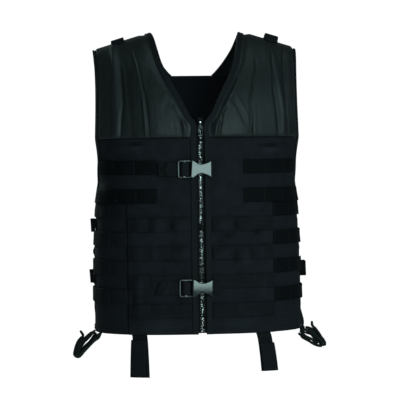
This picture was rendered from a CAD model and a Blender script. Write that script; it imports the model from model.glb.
# %% [markdown]
# # A load-carrying vest with rows of attachment webbing
#
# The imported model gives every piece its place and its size. This lesson dresses it: each cloth panel,
# strap, buckle and cord is made again with the folds, seams, stitches and weave that a real vest has. Every
# layer lies on one shared body surface, so nothing has to be fitted by eye.

import bmesh
import bpy
import math
import numpy as np
from collections import namedtuple
from functools import lru_cache
from mathutils import Matrix, Vector, noise


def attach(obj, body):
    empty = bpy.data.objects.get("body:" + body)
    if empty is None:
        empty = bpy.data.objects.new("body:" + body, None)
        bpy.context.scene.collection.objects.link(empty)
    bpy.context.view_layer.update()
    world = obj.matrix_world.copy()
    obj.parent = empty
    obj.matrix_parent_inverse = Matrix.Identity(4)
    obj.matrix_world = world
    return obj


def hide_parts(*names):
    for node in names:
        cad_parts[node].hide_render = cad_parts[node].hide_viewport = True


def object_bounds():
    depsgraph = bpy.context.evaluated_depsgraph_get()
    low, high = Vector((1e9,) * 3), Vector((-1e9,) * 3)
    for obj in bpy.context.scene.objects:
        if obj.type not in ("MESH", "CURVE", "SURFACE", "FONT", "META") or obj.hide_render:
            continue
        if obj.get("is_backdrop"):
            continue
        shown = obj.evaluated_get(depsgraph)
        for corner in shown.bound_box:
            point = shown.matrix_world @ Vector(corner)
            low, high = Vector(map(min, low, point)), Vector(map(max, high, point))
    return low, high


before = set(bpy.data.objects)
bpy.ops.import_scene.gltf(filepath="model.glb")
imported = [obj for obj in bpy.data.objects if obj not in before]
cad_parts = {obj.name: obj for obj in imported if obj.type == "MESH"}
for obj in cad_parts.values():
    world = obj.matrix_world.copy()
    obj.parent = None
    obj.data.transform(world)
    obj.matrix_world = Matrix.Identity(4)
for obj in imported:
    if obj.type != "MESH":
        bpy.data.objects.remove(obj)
cad_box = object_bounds()
print("nodes in the packed model:", len(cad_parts))

# %% [markdown]
# ## Camera
#
# The photograph was taken from about 3 m with a long lens, a little to the vest's own right and almost level
# with its chest. The camera stands there and looks at the point that the picture's centre shows. The small
# roll is the photograph's own. It is made first, because cords are measured against its view.

# %% Camera
YAW = math.radians(4.0)
ROLL = math.radians(0.8)
DISTANCE = 3.0
EYE_Z = -0.2115
AIM = (0.0070, -0.2850)
HALF_VIEW = 0.1225


def turned(x, y, z):
    """A place in the camera's level frame, as a place in the vest's."""
    return Vector((x * math.cos(YAW) + y * math.sin(YAW), -x * math.sin(YAW) + y * math.cos(YAW), z))


def new_object(name, data):
    obj = bpy.data.objects.new(name, data)
    bpy.context.scene.collection.objects.link(obj)
    return obj


def facing(place, aim):
    """The matrix of a camera or a lamp that stands at one place and looks at another."""
    return Matrix.Translation(place) @ (aim - place).to_track_quat("-Z", "Y").to_matrix().to_4x4()


camera_data = bpy.data.cameras.new("camera")
camera_data.angle = 2 * math.atan(HALF_VIEW)
camera = new_object("camera", camera_data)
eye = turned(0, -DISTANCE, EYE_Z)
camera.matrix_world = facing(eye, turned(AIM[0], 0, AIM[1])) @ Matrix.Rotation(-ROLL, 4, "Z")
bpy.context.scene.camera = camera
print("camera at", [round(v, 3) for v in eye])

# %% [markdown]
# ## The body surface
#
# The vest has the full, rounded form that it has in use. A table gives that form at a few heights: half the
# width, how far it comes forward and how far back. Between them the outline is a rounded rectangle. `ring`
# reads it at any height, and `on_body` turns a distance along it and a height into a point, raised by the
# thickness of what lies below.

# %% The body's tables
HEM_Z = -0.520
YOKE_Z = -0.172
SIDE_TOP_Z = -0.286
BACK_TOP_Z = -0.052
CLOTH = 0.0030
GAP = 0.0006
SEAM_GAP = 0.0004
WEB = 0.0015
WEB_WIDTH = 0.0254
BINDING = 0.0012
BINDING_WIDTH = 0.0100
ARM_BINDING_WIDTH = 0.0080
SIDE_DEPTH = -(CLOTH + GAP)
OPEN_X = 0.0075
STEP_X = 0.130
TUCK_X = 0.1215
LACING_FRONT_Y = -0.006
LACING_BACK_Y = 0.018
PAD_RISE = {-1: 0.0025, 1: 0.0042}
SQUARENESS = 2.6

Section = namedtuple("Section", "z half_width front back")
SECTIONS = (
    Section(-0.520, 0.1925, 0.1200, 0.1060),
    Section(-0.440, 0.1920, 0.1180, 0.1030),
    Section(-0.370, 0.1905, 0.1180, 0.1030),
    Section(-0.300, 0.1865, 0.1200, 0.1090),
    Section(-0.250, 0.1790, 0.1215, 0.1140),
    Section(-0.210, 0.1828, 0.1220, 0.1170),
    Section(-0.172, 0.1905, 0.1220, 0.1180),
    Section(-0.140, 0.1905, 0.1220, 0.1160),
    Section(-0.100, 0.1905, 0.1220, 0.1100),
    Section(-0.070, 0.1905, 0.1220, 0.0990),
    Section(-0.052, 0.1905, 0.1220, 0.0885),
)
Shoulder = namedtuple("Shoulder", "z depth neck spread lift")
SHOULDER = (
    Shoulder(-0.1720, -0.1220, 0.0075, 1.000, 0.00),
    Shoulder(-0.1450, -0.1215, 0.0080, 0.996, 0.00),
    Shoulder(-0.1340, -0.1205, 0.0165, 0.994, 0.00),
    Shoulder(-0.1000, -0.1155, 0.0336, 0.990, 0.00),
    Shoulder(-0.0700, -0.1055, 0.0508, 0.990, 0.08),
    Shoulder(-0.0440, -0.0895, 0.0640, 0.994, 0.25),
    Shoulder(-0.0200, -0.0640, 0.0715, 1.002, 0.60),
    Shoulder(-0.0020, -0.0330, 0.0765, 1.010, 0.88),
    Shoulder(0.0050, 0.0000, 0.0805, 1.015, 1.00),
    Shoulder(-0.0030, 0.0330, 0.0790, 1.010, 0.90),
    Shoulder(-0.0200, 0.0600, 0.0700, 1.004, 0.55),
    Shoulder(-0.0380, 0.0780, 0.0540, 1.001, 0.20),
    Shoulder(-0.0520, 0.0885, 0.0380, 1.000, 0.00),
)
SHOULDER_SLOPE = 0.303
SHOULDER_MID_X = 0.134

Edge = namedtuple("Edge", "z front back")
EDGES = (
    Edge(-0.300, -0.006, 0.018),
    Edge(-0.286, -0.006, 0.018),
    Edge(-0.262, -0.010, 0.024),
    Edge(-0.240, -0.022, 0.036),
    Edge(-0.205, -0.043, 0.050),
    Edge(-0.172, -0.050, 0.052),
    Edge(-0.110, -0.050, 0.048),
    Edge(-0.052, -0.050, 0.0364),
)

# %% Reading the tables


def blend(t):
    """The weights of two values and of their two slopes, a share t of the way between them."""
    return 1 + t * t * (2 * t - 3), t * t * (3 - 2 * t), t * (1 - t) ** 2, t * t * (t - 1)


def run_length(points):
    """The distance along a line of points, at each of them."""
    steps = np.linalg.norm(np.diff(np.array(points, float), axis=0), axis=1)
    return np.concatenate([[0], np.cumsum(steps)])


def smooth(xs, ys, x):
    """A smooth curve through a table's column, read at x."""
    slopes = np.gradient(ys, xs)
    i = int(np.clip(np.searchsorted(xs, x) - 1, 0, len(xs) - 2))
    h = xs[i + 1] - xs[i]
    a, b, c, d = blend(min(1.0, max(0.0, (x - xs[i]) / h)))
    return float(a * ys[i] + b * ys[i + 1] + h * (c * slopes[i] + d * slopes[i + 1]))


def column(table, name):
    return np.array([getattr(row, name) for row in table])


def ease(value):
    value = min(1.0, max(0.0, value))
    return value * value * (3 - 2 * value)


def bell(value, width):
    """One at nothing, fading to nothing beyond a few widths."""
    return math.exp(-((value / width) ** 2))


@lru_cache(maxsize=None)
def ring(z):
    """Half of the vest's outline at a height, front centre to back centre: x, y and distance along it."""
    zs = column(SECTIONS, "z")
    width, front, back = (np.interp(z, zs, column(SECTIONS, n)) for n in Section._fields[1:])
    a = np.linspace(0, math.pi, 401)
    x = width * np.abs(np.sin(a)) ** (2 / SQUARENESS)
    y = np.abs(np.cos(a)) ** (2 / SQUARENESS) * np.where(a < math.pi / 2, -front, back)
    return x, y, run_length(np.stack([x, y], axis=1))


@lru_cache(maxsize=None)
def along_at_y(z, y):
    _, ys, along = ring(z)
    return float(np.interp(y, ys, along))


@lru_cache(maxsize=None)
def along_at_x(z, x):
    xs, _, along = ring(z)
    return float(np.interp(x, xs[:201], along[:201]))


def half_ring(z):
    return float(ring(z)[2][-1])


def on_body(s, z, rise):
    """A point at distance s along the outline from the front centre, raised from it."""
    xs, ys, along = ring(z)
    step = 0.0015
    ahead, behind = min(s + step, along[-1]), s - step
    tx = np.interp(ahead, along, xs) - np.interp(abs(behind), along, xs) * math.copysign(1, behind)
    ty = np.interp(ahead, along, ys) - np.interp(abs(behind), along, ys)
    size = math.hypot(tx, ty)
    x, y = np.interp(s, along, xs), np.interp(s, along, ys)
    return Vector((x + rise * ty / size, y - rise * tx / size, z))


def on_back(s, z, rise):
    """A point at distance s from the back centre, on either side of it."""
    point = on_body(half_ring(z) - abs(s), z, rise)
    return Vector((math.copysign(point.x, s) if s else 0.0, point.y, z))


@lru_cache(maxsize=None)
def front_edge(z):
    return along_at_y(z, smooth(column(EDGES, "z"), column(EDGES, "front"), z))


@lru_cache(maxsize=None)
def back_edge(z):
    return along_at_y(z, smooth(column(EDGES, "z"), column(EDGES, "back"), z))


def mirrored(side, point):
    return Vector((point.x * side, point.y, point.z))


def on_side(side, s, z, rise):
    """A point of the body on the left (-1) or on the right (1)."""
    return mirrored(side, on_body(s, z, rise))


def side_name(side):
    return "left" if side < 0 else "right"


print("half outline at the hem, m:", round(half_ring(HEM_Z), 3))

# %% The way over the shoulder
SHOULDER_ALONG = run_length([(row.depth, row.z) for row in SHOULDER])
YOKE_END = float(SHOULDER_ALONG[-1])
TOP_OF_SHOULDER = float(SHOULDER_ALONG[8])
ARM_ALONG = along_at_y(YOKE_Z, EDGES[5].front)


@lru_cache(maxsize=None)
def shoulder(name, t):
    return smooth(SHOULDER_ALONG, column(SHOULDER, name), t)


def yoke_base(s, t):
    xs, ys, along = ring(YOKE_Z)
    x = float(np.interp(s, along, xs)) * shoulder("spread", t)
    share = float(np.interp(s, along, ys)) / SHOULDER[0].depth
    slope = shoulder("lift", t) * SHOULDER_SLOPE * (SHOULDER_MID_X - x)
    return Vector((x, shoulder("depth", t) * share, shoulder("z", t) + slope))


def on_yoke(s, t, rise):
    """A point of the yoke: s runs outwards from the front centre, t up the chest and over the shoulder."""
    step = 0.002
    across = yoke_base(s + step, t) - yoke_base(s - step, t)
    low, high = max(0.0, t - step), min(YOKE_END, t + step)
    up = yoke_base(s, high) - yoke_base(s, low)
    return yoke_base(s, t) + across.cross(up).normalized() * rise


@lru_cache(maxsize=None)
def neck_along(t):
    return along_at_x(YOKE_Z, shoulder("neck", t) / shoulder("spread", t))


@lru_cache(maxsize=None)
def neck_slant(t):
    """How much wider than its true width the neck binding is along a row, where the edge slants."""
    step = 0.004
    low, high = max(0.0, t - step), min(YOKE_END, t + step)
    return math.hypot(1, (neck_along(high) - neck_along(low)) / (high - low))


def on_shoulder(side, s, t, rise):
    """The yoke as it is sewn: it sinks to the back panel's depth, and its ends are level with the panels."""
    back = ease((t - TOP_OF_SHOULDER) / (YOKE_END - TOP_OF_SHOULDER)) * SIDE_DEPTH
    point = mirrored(side, on_yoke(s, t, back + rise))
    if t <= 0.0:
        point.z = YOKE_Z + SEAM_GAP
    if t >= YOKE_END:
        point.z = BACK_TOP_Z + SEAM_GAP
    return point


print("length over the shoulder, m:", round(YOKE_END, 3))

# %% [markdown]
# ## Finishes: what cloth looks like close up
#
# Nothing on the vest is one flat colour. Heavy nylon shows its basket weave, webbing its ribs, tape a finer
# twill, cord its braid. Each is a node group that reads a piece's own UV map, laid out in metres, so that
# the pattern follows the cloth at its true size. A second group adds what use adds to all of them: lint and
# worn, paler high spots. Groups only put out values; the shader stays in each material.

# %% Small helpers for node groups


def new_group(name, inputs, outputs):
    """An empty node group with named float or vector sockets."""
    group = bpy.data.node_groups.new(name, "ShaderNodeTree")
    for label, kind, value in inputs:
        socket = group.interface.new_socket(name=label, in_out="INPUT", socket_type=kind)
        if value is not None:
            socket.default_value = value
    for label, kind in outputs:
        group.interface.new_socket(name=label, in_out="OUTPUT", socket_type=kind)
    entry = group.nodes.new("NodeGroupInput")
    leave = group.nodes.new("NodeGroupOutput")
    return group, entry, leave


def math_node(tree, operation, *values):
    """One operation on one or two values, or in turn on more."""
    node = tree.nodes.new("ShaderNodeMath")
    node.operation = operation
    for socket, value in zip(node.inputs, values):
        if isinstance(value, (int, float)):
            socket.default_value = value
        else:
            tree.links.new(value, socket)
    rest = values[2:]
    return math_node(tree, operation, node.outputs[0], *rest) if rest else node.outputs[0]


def humps(tree, value):
    """A round hump for each whole step of the value."""
    return math_node(tree, "ABSOLUTE", math_node(tree, "SINE", math_node(tree, "MULTIPLY", value, math.pi)))


def range_node(tree, value, low, high, out_low, out_high):
    node = tree.nodes.new("ShaderNodeMapRange")
    node.interpolation_type = "SMOOTHSTEP"
    tree.links.new(value, node.inputs["Value"])
    for name, number in (("From Min", low), ("From Max", high), ("To Min", out_low), ("To Max", out_high)):
        node.inputs[name].default_value = number
    return node.outputs[0]


def noise_node(tree, vector, scale, detail):
    node = tree.nodes.new("ShaderNodeTexNoise")
    node.inputs["Scale"].default_value = scale
    node.inputs["Detail"].default_value = detail
    tree.links.new(vector, node.inputs["Vector"])
    return node.outputs[0]


FLOAT, VECTOR = "NodeSocketFloat", "NodeSocketVector"

# %% The weave group


def weave_group():
    """Threads over and under: the height of a plain weave with the given thread pitch along u and v."""
    group, entry, leave = new_group(
        "thread_weave",
        [("Vector", VECTOR, None), ("Warp Pitch", FLOAT, 0.0007), ("Weft Pitch", FLOAT, 0.0007)],
        [("Height", FLOAT), ("Shade", FLOAT)],
    )
    split = group.nodes.new("ShaderNodeSeparateXYZ")
    group.links.new(entry.outputs["Vector"], split.inputs[0])
    u = math_node(group, "DIVIDE", split.outputs[0], entry.outputs["Warp Pitch"])
    v = math_node(group, "DIVIDE", split.outputs[1], entry.outputs["Weft Pitch"])
    # each thread is round across its width, and passes over and under its neighbours in turn
    lifted = math_node(group, "ADD", math_node(group, "FLOOR", u), math_node(group, "FLOOR", v))
    over = math_node(group, "MODULO", math_node(group, "ABSOLUTE", lifted), 2.0)
    # the weft lies a little lower than the warp where it is on top
    top = math_node(group, "ADD", math_node(group, "MULTIPLY", over, 0.18), 0.82)
    height = math_node(group, "MULTIPLY", humps(group, u), humps(group, v), top)
    group.links.new(height, leave.inputs["Height"])
    group.links.new(range_node(group, height, 0.0, 0.9, 0.55, 1.15), leave.inputs["Shade"])
    return group


WEAVE = weave_group()
print("weave group nodes:", len(WEAVE.nodes))

# %% The rib group for webbing and braid


def rib_group():
    """Slanted ribs that alternate in two directions, as in webbing and braided cord."""
    group, entry, leave = new_group(
        "slanted_ribs",
        [("Vector", VECTOR, None), ("Along", FLOAT, 0.0016), ("Across", FLOAT, 0.002), ("Slant", FLOAT, 0.6)],
        [("Height", FLOAT), ("Shade", FLOAT)],
    )
    split = group.nodes.new("ShaderNodeSeparateXYZ")
    group.links.new(entry.outputs["Vector"], split.inputs[0])
    u = math_node(group, "DIVIDE", split.outputs[0], entry.outputs["Along"])
    v = math_node(group, "DIVIDE", split.outputs[1], entry.outputs["Across"])
    # a herringbone: the ribs lean one way in one band and the other way in the next
    band = math_node(group, "PINGPONG", v, 1.0)
    leaning = math_node(group, "ADD", u, math_node(group, "MULTIPLY", band, entry.outputs["Slant"]))
    rib = math_node(group, "SINE", math_node(group, "MULTIPLY", leaning, 2 * math.pi))
    rib = math_node(group, "MULTIPLY", math_node(group, "ADD", rib, 1.0), 0.5)
    edge = range_node(group, humps(group, v), 0.0, 0.45, 0.35, 1.0)
    height = math_node(group, "MULTIPLY", rib, edge)
    group.links.new(height, leave.inputs["Height"])
    group.links.new(range_node(group, height, 0.0, 0.9, 0.6, 1.15), leave.inputs["Shade"])
    return group


RIBS = rib_group()
print("rib group nodes:", len(RIBS.nodes))

# %% The wear group


def wear_group():
    """Soft patches where the dye has worn paler, and a little lint, both from the piece's own place."""
    group, entry, leave = new_group(
        "cloth_wear",
        [("Vector", VECTOR, None), ("Patch", FLOAT, 0.12), ("Lint", FLOAT, 0.3)],
        [("Shade", FLOAT), ("Lint", FLOAT)],
    )
    soft = noise_node(group, entry.outputs["Vector"], 14.0, 3.0)
    fine = noise_node(group, entry.outputs["Vector"], 260.0, 2.0)
    patch = math_node(group, "MULTIPLY", math_node(group, "SUBTRACT", soft, 0.5), entry.outputs["Patch"], 2.0)
    grain = math_node(group, "MULTIPLY", math_node(group, "SUBTRACT", fine, 0.5), entry.outputs["Patch"], 0.5)
    shade = math_node(group, "ADD", 1.0, patch, grain)
    specks = range_node(group, noise_node(group, entry.outputs["Vector"], 900.0, 1.0), 0.70, 0.80, 0.0, 1.0)
    lint = math_node(group, "MULTIPLY", specks, entry.outputs["Lint"])
    group.links.new(shade, leave.inputs["Shade"])
    group.links.new(lint, leave.inputs["Lint"])
    return group


WEAR = wear_group()
print("wear group nodes:", len(WEAR.nodes))

# %% [markdown]
# ## The materials
#
# Black is never one black. The heavy cloth is a cool dark grey that scatters light, the yoke's smooth nylon
# has a soft greenish sheen, the webbing is deeper and a little blue, the buckles are glossy moulded plastic
# and the zip is bright plated metal. Sheen stands for the fuzz of fibres that catches light at a glancing
# angle.

# %% A blank material
FINISHES = {}


def blank_material(name):
    """A new finish: its nodes, its shader and the place on the piece."""
    material = bpy.data.materials.new(name)
    material.use_nodes = True
    FINISHES[name] = material
    tree = material.node_tree
    return tree, tree.nodes["Principled BSDF"], tree.nodes.new("ShaderNodeTexCoord").outputs["Object"]


def two_tone(tree, share, first, second):
    """Runs the base colour from one colour to another."""
    base = tree.nodes.new("ShaderNodeMix")
    base.data_type = "RGBA"
    base.inputs["A"].default_value = (*first, 1)
    base.inputs["B"].default_value = (*second, 1)
    tree.links.new(share, base.inputs["Factor"])
    tree.links.new(base.outputs["Result"], tree.nodes["Principled BSDF"].inputs["Base Color"])


def raise_by(tree, height, strength, distance):
    """Raises the surface by a pattern's height, which is worth the distance at its highest."""
    raised = tree.nodes.new("ShaderNodeBump")
    raised.inputs["Strength"].default_value = strength
    raised.inputs["Distance"].default_value = distance
    tree.links.new(height, raised.inputs["Height"])
    tree.links.new(raised.outputs[0], tree.nodes["Principled BSDF"].inputs["Normal"])


# %% A cloth material
PALEST = 1.6


def placed_group(tree, kind, vector, sizes):
    """One of the node groups, placed in a material with its own sizes."""
    node = tree.nodes.new("ShaderNodeGroup")
    node.node_tree = kind
    tree.links.new(vector, node.inputs["Vector"])
    for label, value in sizes.items():
        node.inputs[label].default_value = value
    return node.outputs


def cloth_material(name, color, roughness, pattern, sizes, bump, specular, sheen, patch=0.16, lint=0.02):
    """A fabric: its pattern group shades and raises it, the wear group breaks it up."""
    tree, shader, place = blank_material(name)
    uv = tree.nodes.new("ShaderNodeUVMap")
    uv.uv_map = "cloth"
    woven = placed_group(tree, pattern, uv.outputs[0], sizes)
    worn = placed_group(tree, WEAR, place, {"Patch": patch, "Lint": lint})
    rubbed = tree.nodes.new("ShaderNodeAttribute")
    rubbed.attribute_name = "rubbed"
    paler = math_node(tree, "ADD", 1.0, rubbed.outputs["Fac"])
    shade = math_node(tree, "MULTIPLY", woven["Shade"], worn["Shade"], paler)
    share = math_node(tree, "DIVIDE", math_node(tree, "ADD", shade, worn["Lint"]), PALEST)
    share.node.use_clamp = True
    two_tone(tree, share, (0, 0, 0), [value * PALEST for value in color])
    dull = range_node(tree, worn["Shade"], 0.8, 1.2, roughness - 0.05, roughness + 0.05)
    tree.links.new(dull, shader.inputs["Roughness"])
    raise_by(tree, woven["Height"], 1.0, bump)
    shader.inputs["Sheen Weight"].default_value = sheen
    shader.inputs["Sheen Roughness"].default_value = 0.45
    shader.inputs["Sheen Tint"].default_value = (0.75, 0.95, 1.0, 1)
    shader.inputs["Specular IOR Level"].default_value = specular


cloth_material(
    "cordura", (0.0140, 0.0148, 0.0205), 0.66, WEAVE,
    {"Warp Pitch": 0.00075, "Weft Pitch": 0.00085}, 0.00018, specular=0.13, sheen=0.01,
)
cloth_material(
    "satin_nylon", (0.0135, 0.0165, 0.0178), 0.48, WEAVE,
    {"Warp Pitch": 0.00028, "Weft Pitch": 0.00032}, 0.00002, specular=0.30, sheen=0.02,
    patch=0.10, lint=0.01,
)
cloth_material(
    "webbing", (0.0076, 0.0080, 0.0115), 0.62, RIBS,
    {"Along": 0.0011, "Across": 0.0021, "Slant": 0.55}, 0.00016, specular=0.14, sheen=0.01,
)
cloth_material(
    "deep_webbing", (0.0034, 0.0040, 0.0056), 0.66, RIBS,
    {"Along": 0.0011, "Across": 0.0021, "Slant": 0.55}, 0.00016, specular=0.09, sheen=0.005,
)
cloth_material(
    "binding_tape", (0.0085, 0.0096, 0.0118), 0.62, RIBS,
    {"Along": 0.0007, "Across": 0.0012, "Slant": 0.3}, 0.00008, specular=0.16, sheen=0.01,
)
cloth_material(
    "zip_tape", (0.0070, 0.0075, 0.0085), 0.75, RIBS,
    {"Along": 0.0009, "Across": 0.0009, "Slant": 0.8}, 0.00008, specular=0.15, sheen=0.01,
)
cloth_material(
    "braided_cord", (0.0100, 0.0120, 0.0125), 0.60, RIBS,
    {"Along": 0.0018, "Across": 0.0019, "Slant": 1.0}, 0.00030, specular=0.2, sheen=0.05,
)
print("cloth finishes:", sorted(FINISHES))

# %% Plastic, metal and thread
def plastic_material(name, specular, coat, low, high):
    """Moulded black plastic with a faint ripple and handling marks: low and high bound its roughness."""
    tree, shader, place = blank_material(name)
    shader.inputs["Base Color"].default_value = (0.0060, 0.0085, 0.0090, 1)
    shader.inputs["Specular IOR Level"].default_value = specular
    shader.inputs["Coat Weight"].default_value = coat
    shader.inputs["Coat Roughness"].default_value = 0.12
    marks = range_node(tree, noise_node(tree, place, 420.0, 3.0), 0.45, 0.75, low, high)
    tree.links.new(marks, shader.inputs["Roughness"])
    raise_by(tree, noise_node(tree, place, 90.0, 1.0), 0.25, 0.0004)


def metal_material(name, dark, bright, scale, low, high):
    """Plated metal: its polish comes and goes in patches of the given scale."""
    tree, shader, place = blank_material(name)
    shader.inputs["Metallic"].default_value = 1.0
    marks = range_node(tree, noise_node(tree, place, scale, 2.0), low, high, 0.0, 1.0)
    two_tone(tree, marks, (dark, dark * 1.02, dark * 1.02), (bright, bright, bright))
    tree.links.new(range_node(tree, marks, 0.0, 1.0, 0.42, 0.24), shader.inputs["Roughness"])


def thread_material(name):
    """Bonded sewing thread: round, and its twist shows as a change of shade."""
    tree, shader, place = blank_material(name)
    twist = noise_node(tree, place, 1800.0, 1.0)
    two_tone(tree, twist, (0.005, 0.006, 0.007), (0.013, 0.016, 0.018))
    tree.links.new(range_node(tree, twist, 0.3, 0.7, 0.45, 0.6), shader.inputs["Roughness"])


plastic_material("buckle_plastic", 0.42, 0.65, 0.13, 0.24)
plastic_material("frame_plastic", 0.58, 0.42, 0.30, 0.42)
plastic_material("black_enamel", 0.06, 0.0, 0.50, 0.65)
metal_material("teeth_metal", 0.012, 0.75, 420.0, 0.51, 0.59)
metal_material("dark_metal", 0.014, 0.022, 700.0, 0.3, 0.7)
metal_material("bright_metal", 0.60, 0.85, 700.0, 0.3, 0.7)
thread_material("sewing_thread")
print("finishes:", len(FINISHES))

# %% [markdown]
# ## Cloth as a surface with a thickness
#
# A panel starts as Blender's own grid. Each of its points is then laid on the body by a function, its place
# on the grid is kept as a UV map in metres, and a Solidify modifier gives the cloth its thickness inwards.
# This keeps folds and puckers in one place: the function that lays the points.

# %% Laying a grid on the body
BODY = "vest"
ROW_STEP = 0.0024


def finish_piece(obj, node_names, body=BODY):
    """Every piece rides on its body, takes its finish from a slot and stands for its nodes."""
    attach(obj, body)
    if node_names:
        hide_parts(*node_names)
    return obj


def new_piece(name, bm, material):
    mesh = bpy.data.meshes.new(name)
    bm.to_mesh(mesh)
    bm.free()
    mesh.shade_smooth()
    mesh.materials.append(FINISHES[material])
    return new_object(name, mesh)


def cloth_bmesh():
    """An empty mesh that can hold a UV map in metres and how far the cloth is rubbed."""
    bm = bmesh.new()
    bm.loops.layers.uv.new("cloth")
    bm.verts.layers.float.new("rubbed")
    return bm


def grid_into(bm, nx, ny):
    """Adds a grid, and gives the column and the row of each of its points."""
    made = bmesh.ops.create_grid(bm, x_segments=nx, y_segments=ny, size=0.5)
    return {v: (round((v.co.x + 0.5) * nx), round((v.co.y + 0.5) * ny)) for v in made["verts"]}


def lay(bm, spots, uv_at, point_at, worn_at=None):
    """Puts a grid's points in place: each function is given a point's column and row."""
    uv = bm.loops.layers.uv["cloth"]
    worn = bm.verts.layers.float["rubbed"]
    for f in {f for v in spots for f in v.link_faces}:
        for loop in f.loops:
            loop[uv].uv = uv_at(*spots[loop.vert])
    for v, spot in spots.items():
        v.co = point_at(*spot)
        v[worn] = worn_at(*spot) if worn_at else 0.0


def laid_grid(rows, columns, place, keep=None, rub=None):
    """An open surface: columns(row) gives the places along a row, place(along, row) the point in space."""
    lines = [columns(row) for row in rows]
    bm = cloth_bmesh()
    spots = grid_into(bm, len(lines[0]) - 1, len(rows) - 1)
    if keep:
        cut = [f for f in bm.faces if not keep(*min(spots[v] for v in f.verts))]
        bmesh.ops.delete(bm, geom=cut, context="FACES")
        spots = {v: spot for v, spot in spots.items() if v.is_valid}

    def at(function):
        return lambda i, j: function(lines[j][i], rows[j])

    lay(bm, spots, at(lambda along, row: (along, row)), at(place), at(rub) if rub else None)
    return bm


def outwards(bm, middle=Vector((0, 0, -0.3))):
    """Turns an open surface's faces away from the body's middle line."""
    bmesh.ops.recalc_face_normals(bm, faces=bm.faces)
    if sum((f.normal.dot(f.calc_center_median() - middle)) * f.calc_area() for f in bm.faces) < 0:
        bmesh.ops.reverse_faces(bm, faces=bm.faces)
    return bm


def cloth_piece(name, bm, material, thickness, node):
    """The surface with its thickness inwards, and the area that it was cut with."""
    area = sum(f.calc_area() for f in bm.faces)
    obj = new_piece(name, outwards(bm), material)
    wall = obj.modifiers.new("thickness", "SOLIDIFY")
    wall.thickness = thickness
    wall.offset = -1.0
    wall.use_even_offset = True
    return finish_piece(obj, [node]), area


def hang(piece):
    """Says how large the cloth was cut: its length, and a width that holds its area and the seams."""
    obj, area = piece
    print(obj.name, "cloth area, m2:", round(area, 4))


def shared(start, end, count):
    """Values from start to end, with the given number of equal steps."""
    return [start + (end - start) * i / count for i in range(count + 1)]


def even(start, end, step):
    """Values from start to end, about step apart."""
    return shared(start, end, max(1, round(abs(end - start) / step)))


def heights(*stretches):
    """The rows of a grid, over one or more stretches (start, end, step) that follow each other."""
    values = [z for k, stretch in enumerate(stretches) for z in even(*stretch)[1 if k else 0:]]
    return [round(z, 5) for z in values]


print("a straight line of 10 mm in", len(even(0, 0.010, ROW_STEP)), "points")

# %% [markdown]
# ## The relief of the panels
#
# Webbing that is tacked down every 38 mm shortens the cloth under it, so the cloth swells between the rows
# and between the tacks. The photograph shows where it catches light. A short table lists those swellings
# in millimetres, and one function adds them up; panels, webbing and stitches all read it, so they move
# together.

# %% Relief
ROW_TOP_Z = -0.2238
ROW_PITCH = 0.0508
SIDE_ROW_TOP_Z = ROW_TOP_Z - 1.5 * ROW_PITCH
TACK_PITCH = 0.0381
SHORT_ROW_X = 0.0765
LONG_ROW_X = 0.0195
SHORT_ROWS = 2
HEM_FOLD = 0.020
WAVE = 0.00075
RIPPLE = 0.00022

Puff = namedtuple("Puff", "side x z height half_width half_height")
PUFFS = (
    Puff(1, 41, -329, 1.7, 15, 8),
    Puff(1, 38, -380, 1.6, 14, 7),
    Puff(1, 79, -384, 1.8, 9, 11),
    Puff(1, 108, -382, 1.5, 6, 10),
    Puff(1, 61, -328, -1.4, 4, 8),
    Puff(1, 47, -345, -1.2, 10, 5),
    Puff(1, 100, -339, -1.3, 7, 6),
    Puff(1, 61, -383, -1.3, 5, 11),
    Puff(1, 91, -381, -1.3, 5, 9),
    Puff(1, 113, -438, 1.5, 5, 11),
    Puff(-1, 77, -330, 1.6, 11, 11),
    Puff(-1, 32, -330, 1.5, 14, 8),
    Puff(-1, 85, -378, 1.8, 7, 14),
    Puff(-1, 26, -375, 1.5, 7, 11),
    Puff(-1, 54, -327, -1.3, 5, 8),
    Puff(-1, 48, -370, -1.2, 11, 4),
    Puff(-1, 60, -388, -1.2, 9, 4),
    Puff(-1, 111, -433, 1.6, 6, 10),
    Puff(-1, 123, -457, -1.4, 6, 14),
    Puff(-1, 75, -503, 1.7, 20, 12),
    Puff(1, 68, -501, 1.2, 25, 11),
    Puff(1, 131, -187, -2.2, 16, 3),
    Puff(-1, 114, -182, -2.2, 11, 3),
    Puff(1, 131, -194, 1.6, 16, 5),
    Puff(-1, 115, -189, 1.4, 13, 5),
    Puff(1, 62, -230, 0.8, 4, 19),
    Puff(-1, 49, -198, 0.6, 5, 9),
)


def wrinkle(side, s, z):
    """Small irregular waves, longer across the body than up it."""
    wide = noise.noise(Vector((s * 22 + side * 7.3, z * 38, side * 3.1)))
    fine = noise.noise(Vector((s * 70, z * 95 + side * 5.7, 4.2 * side)))
    return WAVE * wide + RIPPLE * fine


def swellings(side, x, z):
    """The table's swellings at a place, added up. The table is in millimetres."""
    x, z = x * 1000, z * 1000
    near = [puff for puff in PUFFS if puff.side == side]
    return sum(p.height * bell(x - p.x, p.half_width) * bell(z - p.z, p.half_height) for p in near) / 1000


def rubbed(side, x, z):
    """How pale the cloth has worn: high places rub against things, low ones keep their dye."""
    mottled = 0.32 * noise.noise(Vector((x * 60, z * 75, side * 1.7)))
    mottled += 0.22 * noise.noise(Vector((x * 160, z * 190, side * 5.3)))
    return min(1.4, max(-0.8, 0.80 * swellings(side, x, z) / 0.0015 + mottled))


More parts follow.
